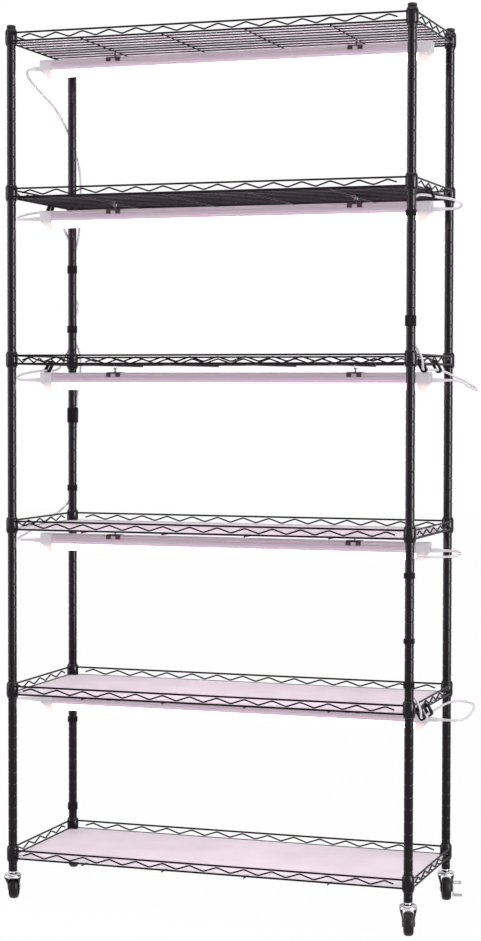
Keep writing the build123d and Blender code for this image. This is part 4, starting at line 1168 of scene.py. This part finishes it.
def soft_light(name, place, power, width, height, tone, sheen_only=False):
    """A soft lamp aimed at the stand's middle. One for sheen only shows in reflections and lights nothing."""
    data = bpy.data.lights.new(name, "AREA")
    data.shape = "RECTANGLE"
    data.size, data.size_y = width, height
    data.energy = power
    data.color = tone
    lamp = bpy.data.objects.new(name, data)
    bpy.context.scene.collection.objects.link(lamp)
    lamp.location = place
    lamp.rotation_mode = "QUATERNION"
    lamp.rotation_quaternion = (Vector((0, 0, 1.0)) - Vector(place)).to_track_quat("-Z", "Y")
    if sheen_only:
        lamp.visible_diffuse = False
        lamp.visible_transmission = False


class STAND_OT_stage(bpy.types.Operator):
    """Camera, pale floor, world and soft lamps"""

    bl_idname = "stand.stage"
    bl_label = "Stage"

    def execute(self, context):
        scene = context.scene
        scene.view_settings.view_transform = "Standard"
        data = bpy.data.cameras.new("View")
        data.sensor_width = 36.0
        data.lens = data.sensor_width * FOCAL_PIXELS / PICTURE_HEIGHT
        data.clip_end = 60.0
        camera = bpy.data.objects.new("View", data)
        scene.collection.objects.link(camera)
        camera.matrix_world = (
            Matrix.Translation(CAMERA_PLACE)
            @ Matrix.Rotation(math.radians(CAMERA_YAW), 4, "Z")
            @ Matrix.Rotation(math.radians(90 - CAMERA_DIP), 4, "X")
            @ Matrix.Rotation(math.radians(CAMERA_ROLL), 4, "Z")
        )
        scene.camera = camera

        mesh = bpy.data.meshes.new("Studio floor")
        form = bmesh.new()
        bmesh.ops.create_grid(form, x_segments=8, y_segments=8, size=14.0)
        form.to_mesh(mesh)
        form.free()
        paper = made_of("Studio floor")
        seen_white(paper.node_tree, FLOOR_SHARE, "Principled BSDF", "Emission", "Material Output")
        mesh.materials.append(paper)
        floor = bpy.data.objects.new("studio_floor", mesh)
        scene.collection.objects.link(floor)
        floor.location = (0, 0, -0.0005)

        world = bpy.data.worlds.new("Studio")
        scene.world = world
        world.use_nodes = True
        plain = world.node_tree.nodes["Background"].inputs
        plain["Color"].default_value = (1, 1, 1, 1)
        plain["Strength"].default_value = WORLD_LIGHT
        seen_white(world.node_tree, 1.0, "Background", "Background", "World Output")

        for lamp in LAMPS:
            soft_light(*lamp)
        return {"FINISHED"}


class STAND_PT_panel(bpy.types.Panel):
    """Lists the stand's operators, sizes and colours"""

    bl_label = "Plant stand"
    bl_idname = "STAND_PT_panel"
    bl_space_type = "VIEW_3D"
    bl_region_type = "UI"
    bl_category = "Plant stand"

    def draw(self, context):
        for operator in OPERATORS:
            self.layout.operator(operator.bl_idname)
        for group in (context.scene.stand_sizes, context.scene.stand_colours):
            box = self.layout.box()
            for name in group.bl_rna.properties.keys():
                if name not in ("rna_type", "name"):
                    box.prop(group, name)


OPERATORS = (
    STAND_OT_stage,
    STAND_OT_cords,
    STAND_OT_posts,
    STAND_OT_shelves,
    STAND_OT_lights,
    STAND_OT_straps,
    STAND_OT_casters,
)
CLASSES = (StandSizes, StandColours, *OPERATORS, STAND_PT_panel)


def register():
    for entry in CLASSES:
        bpy.utils.register_class(entry)
    bpy.types.Scene.stand_sizes = PointerProperty(type=StandSizes)
    bpy.types.Scene.stand_colours = PointerProperty(type=StandColours)


def unregister():
    del bpy.types.Scene.stand_colours
    del bpy.types.Scene.stand_sizes
    for entry in reversed(CLASSES):
        bpy.utils.unregister_class(entry)


def main():
    """Register and build every piece in order."""
    register()
    bpy.ops.stand.stage()
    bpy.ops.stand.cords()
    bpy.ops.stand.posts()
    bpy.ops.stand.shelves()
    bpy.ops.stand.lights()
    bpy.ops.stand.straps()
    bpy.ops.stand.casters()


if __name__ == "__main__":
    main()
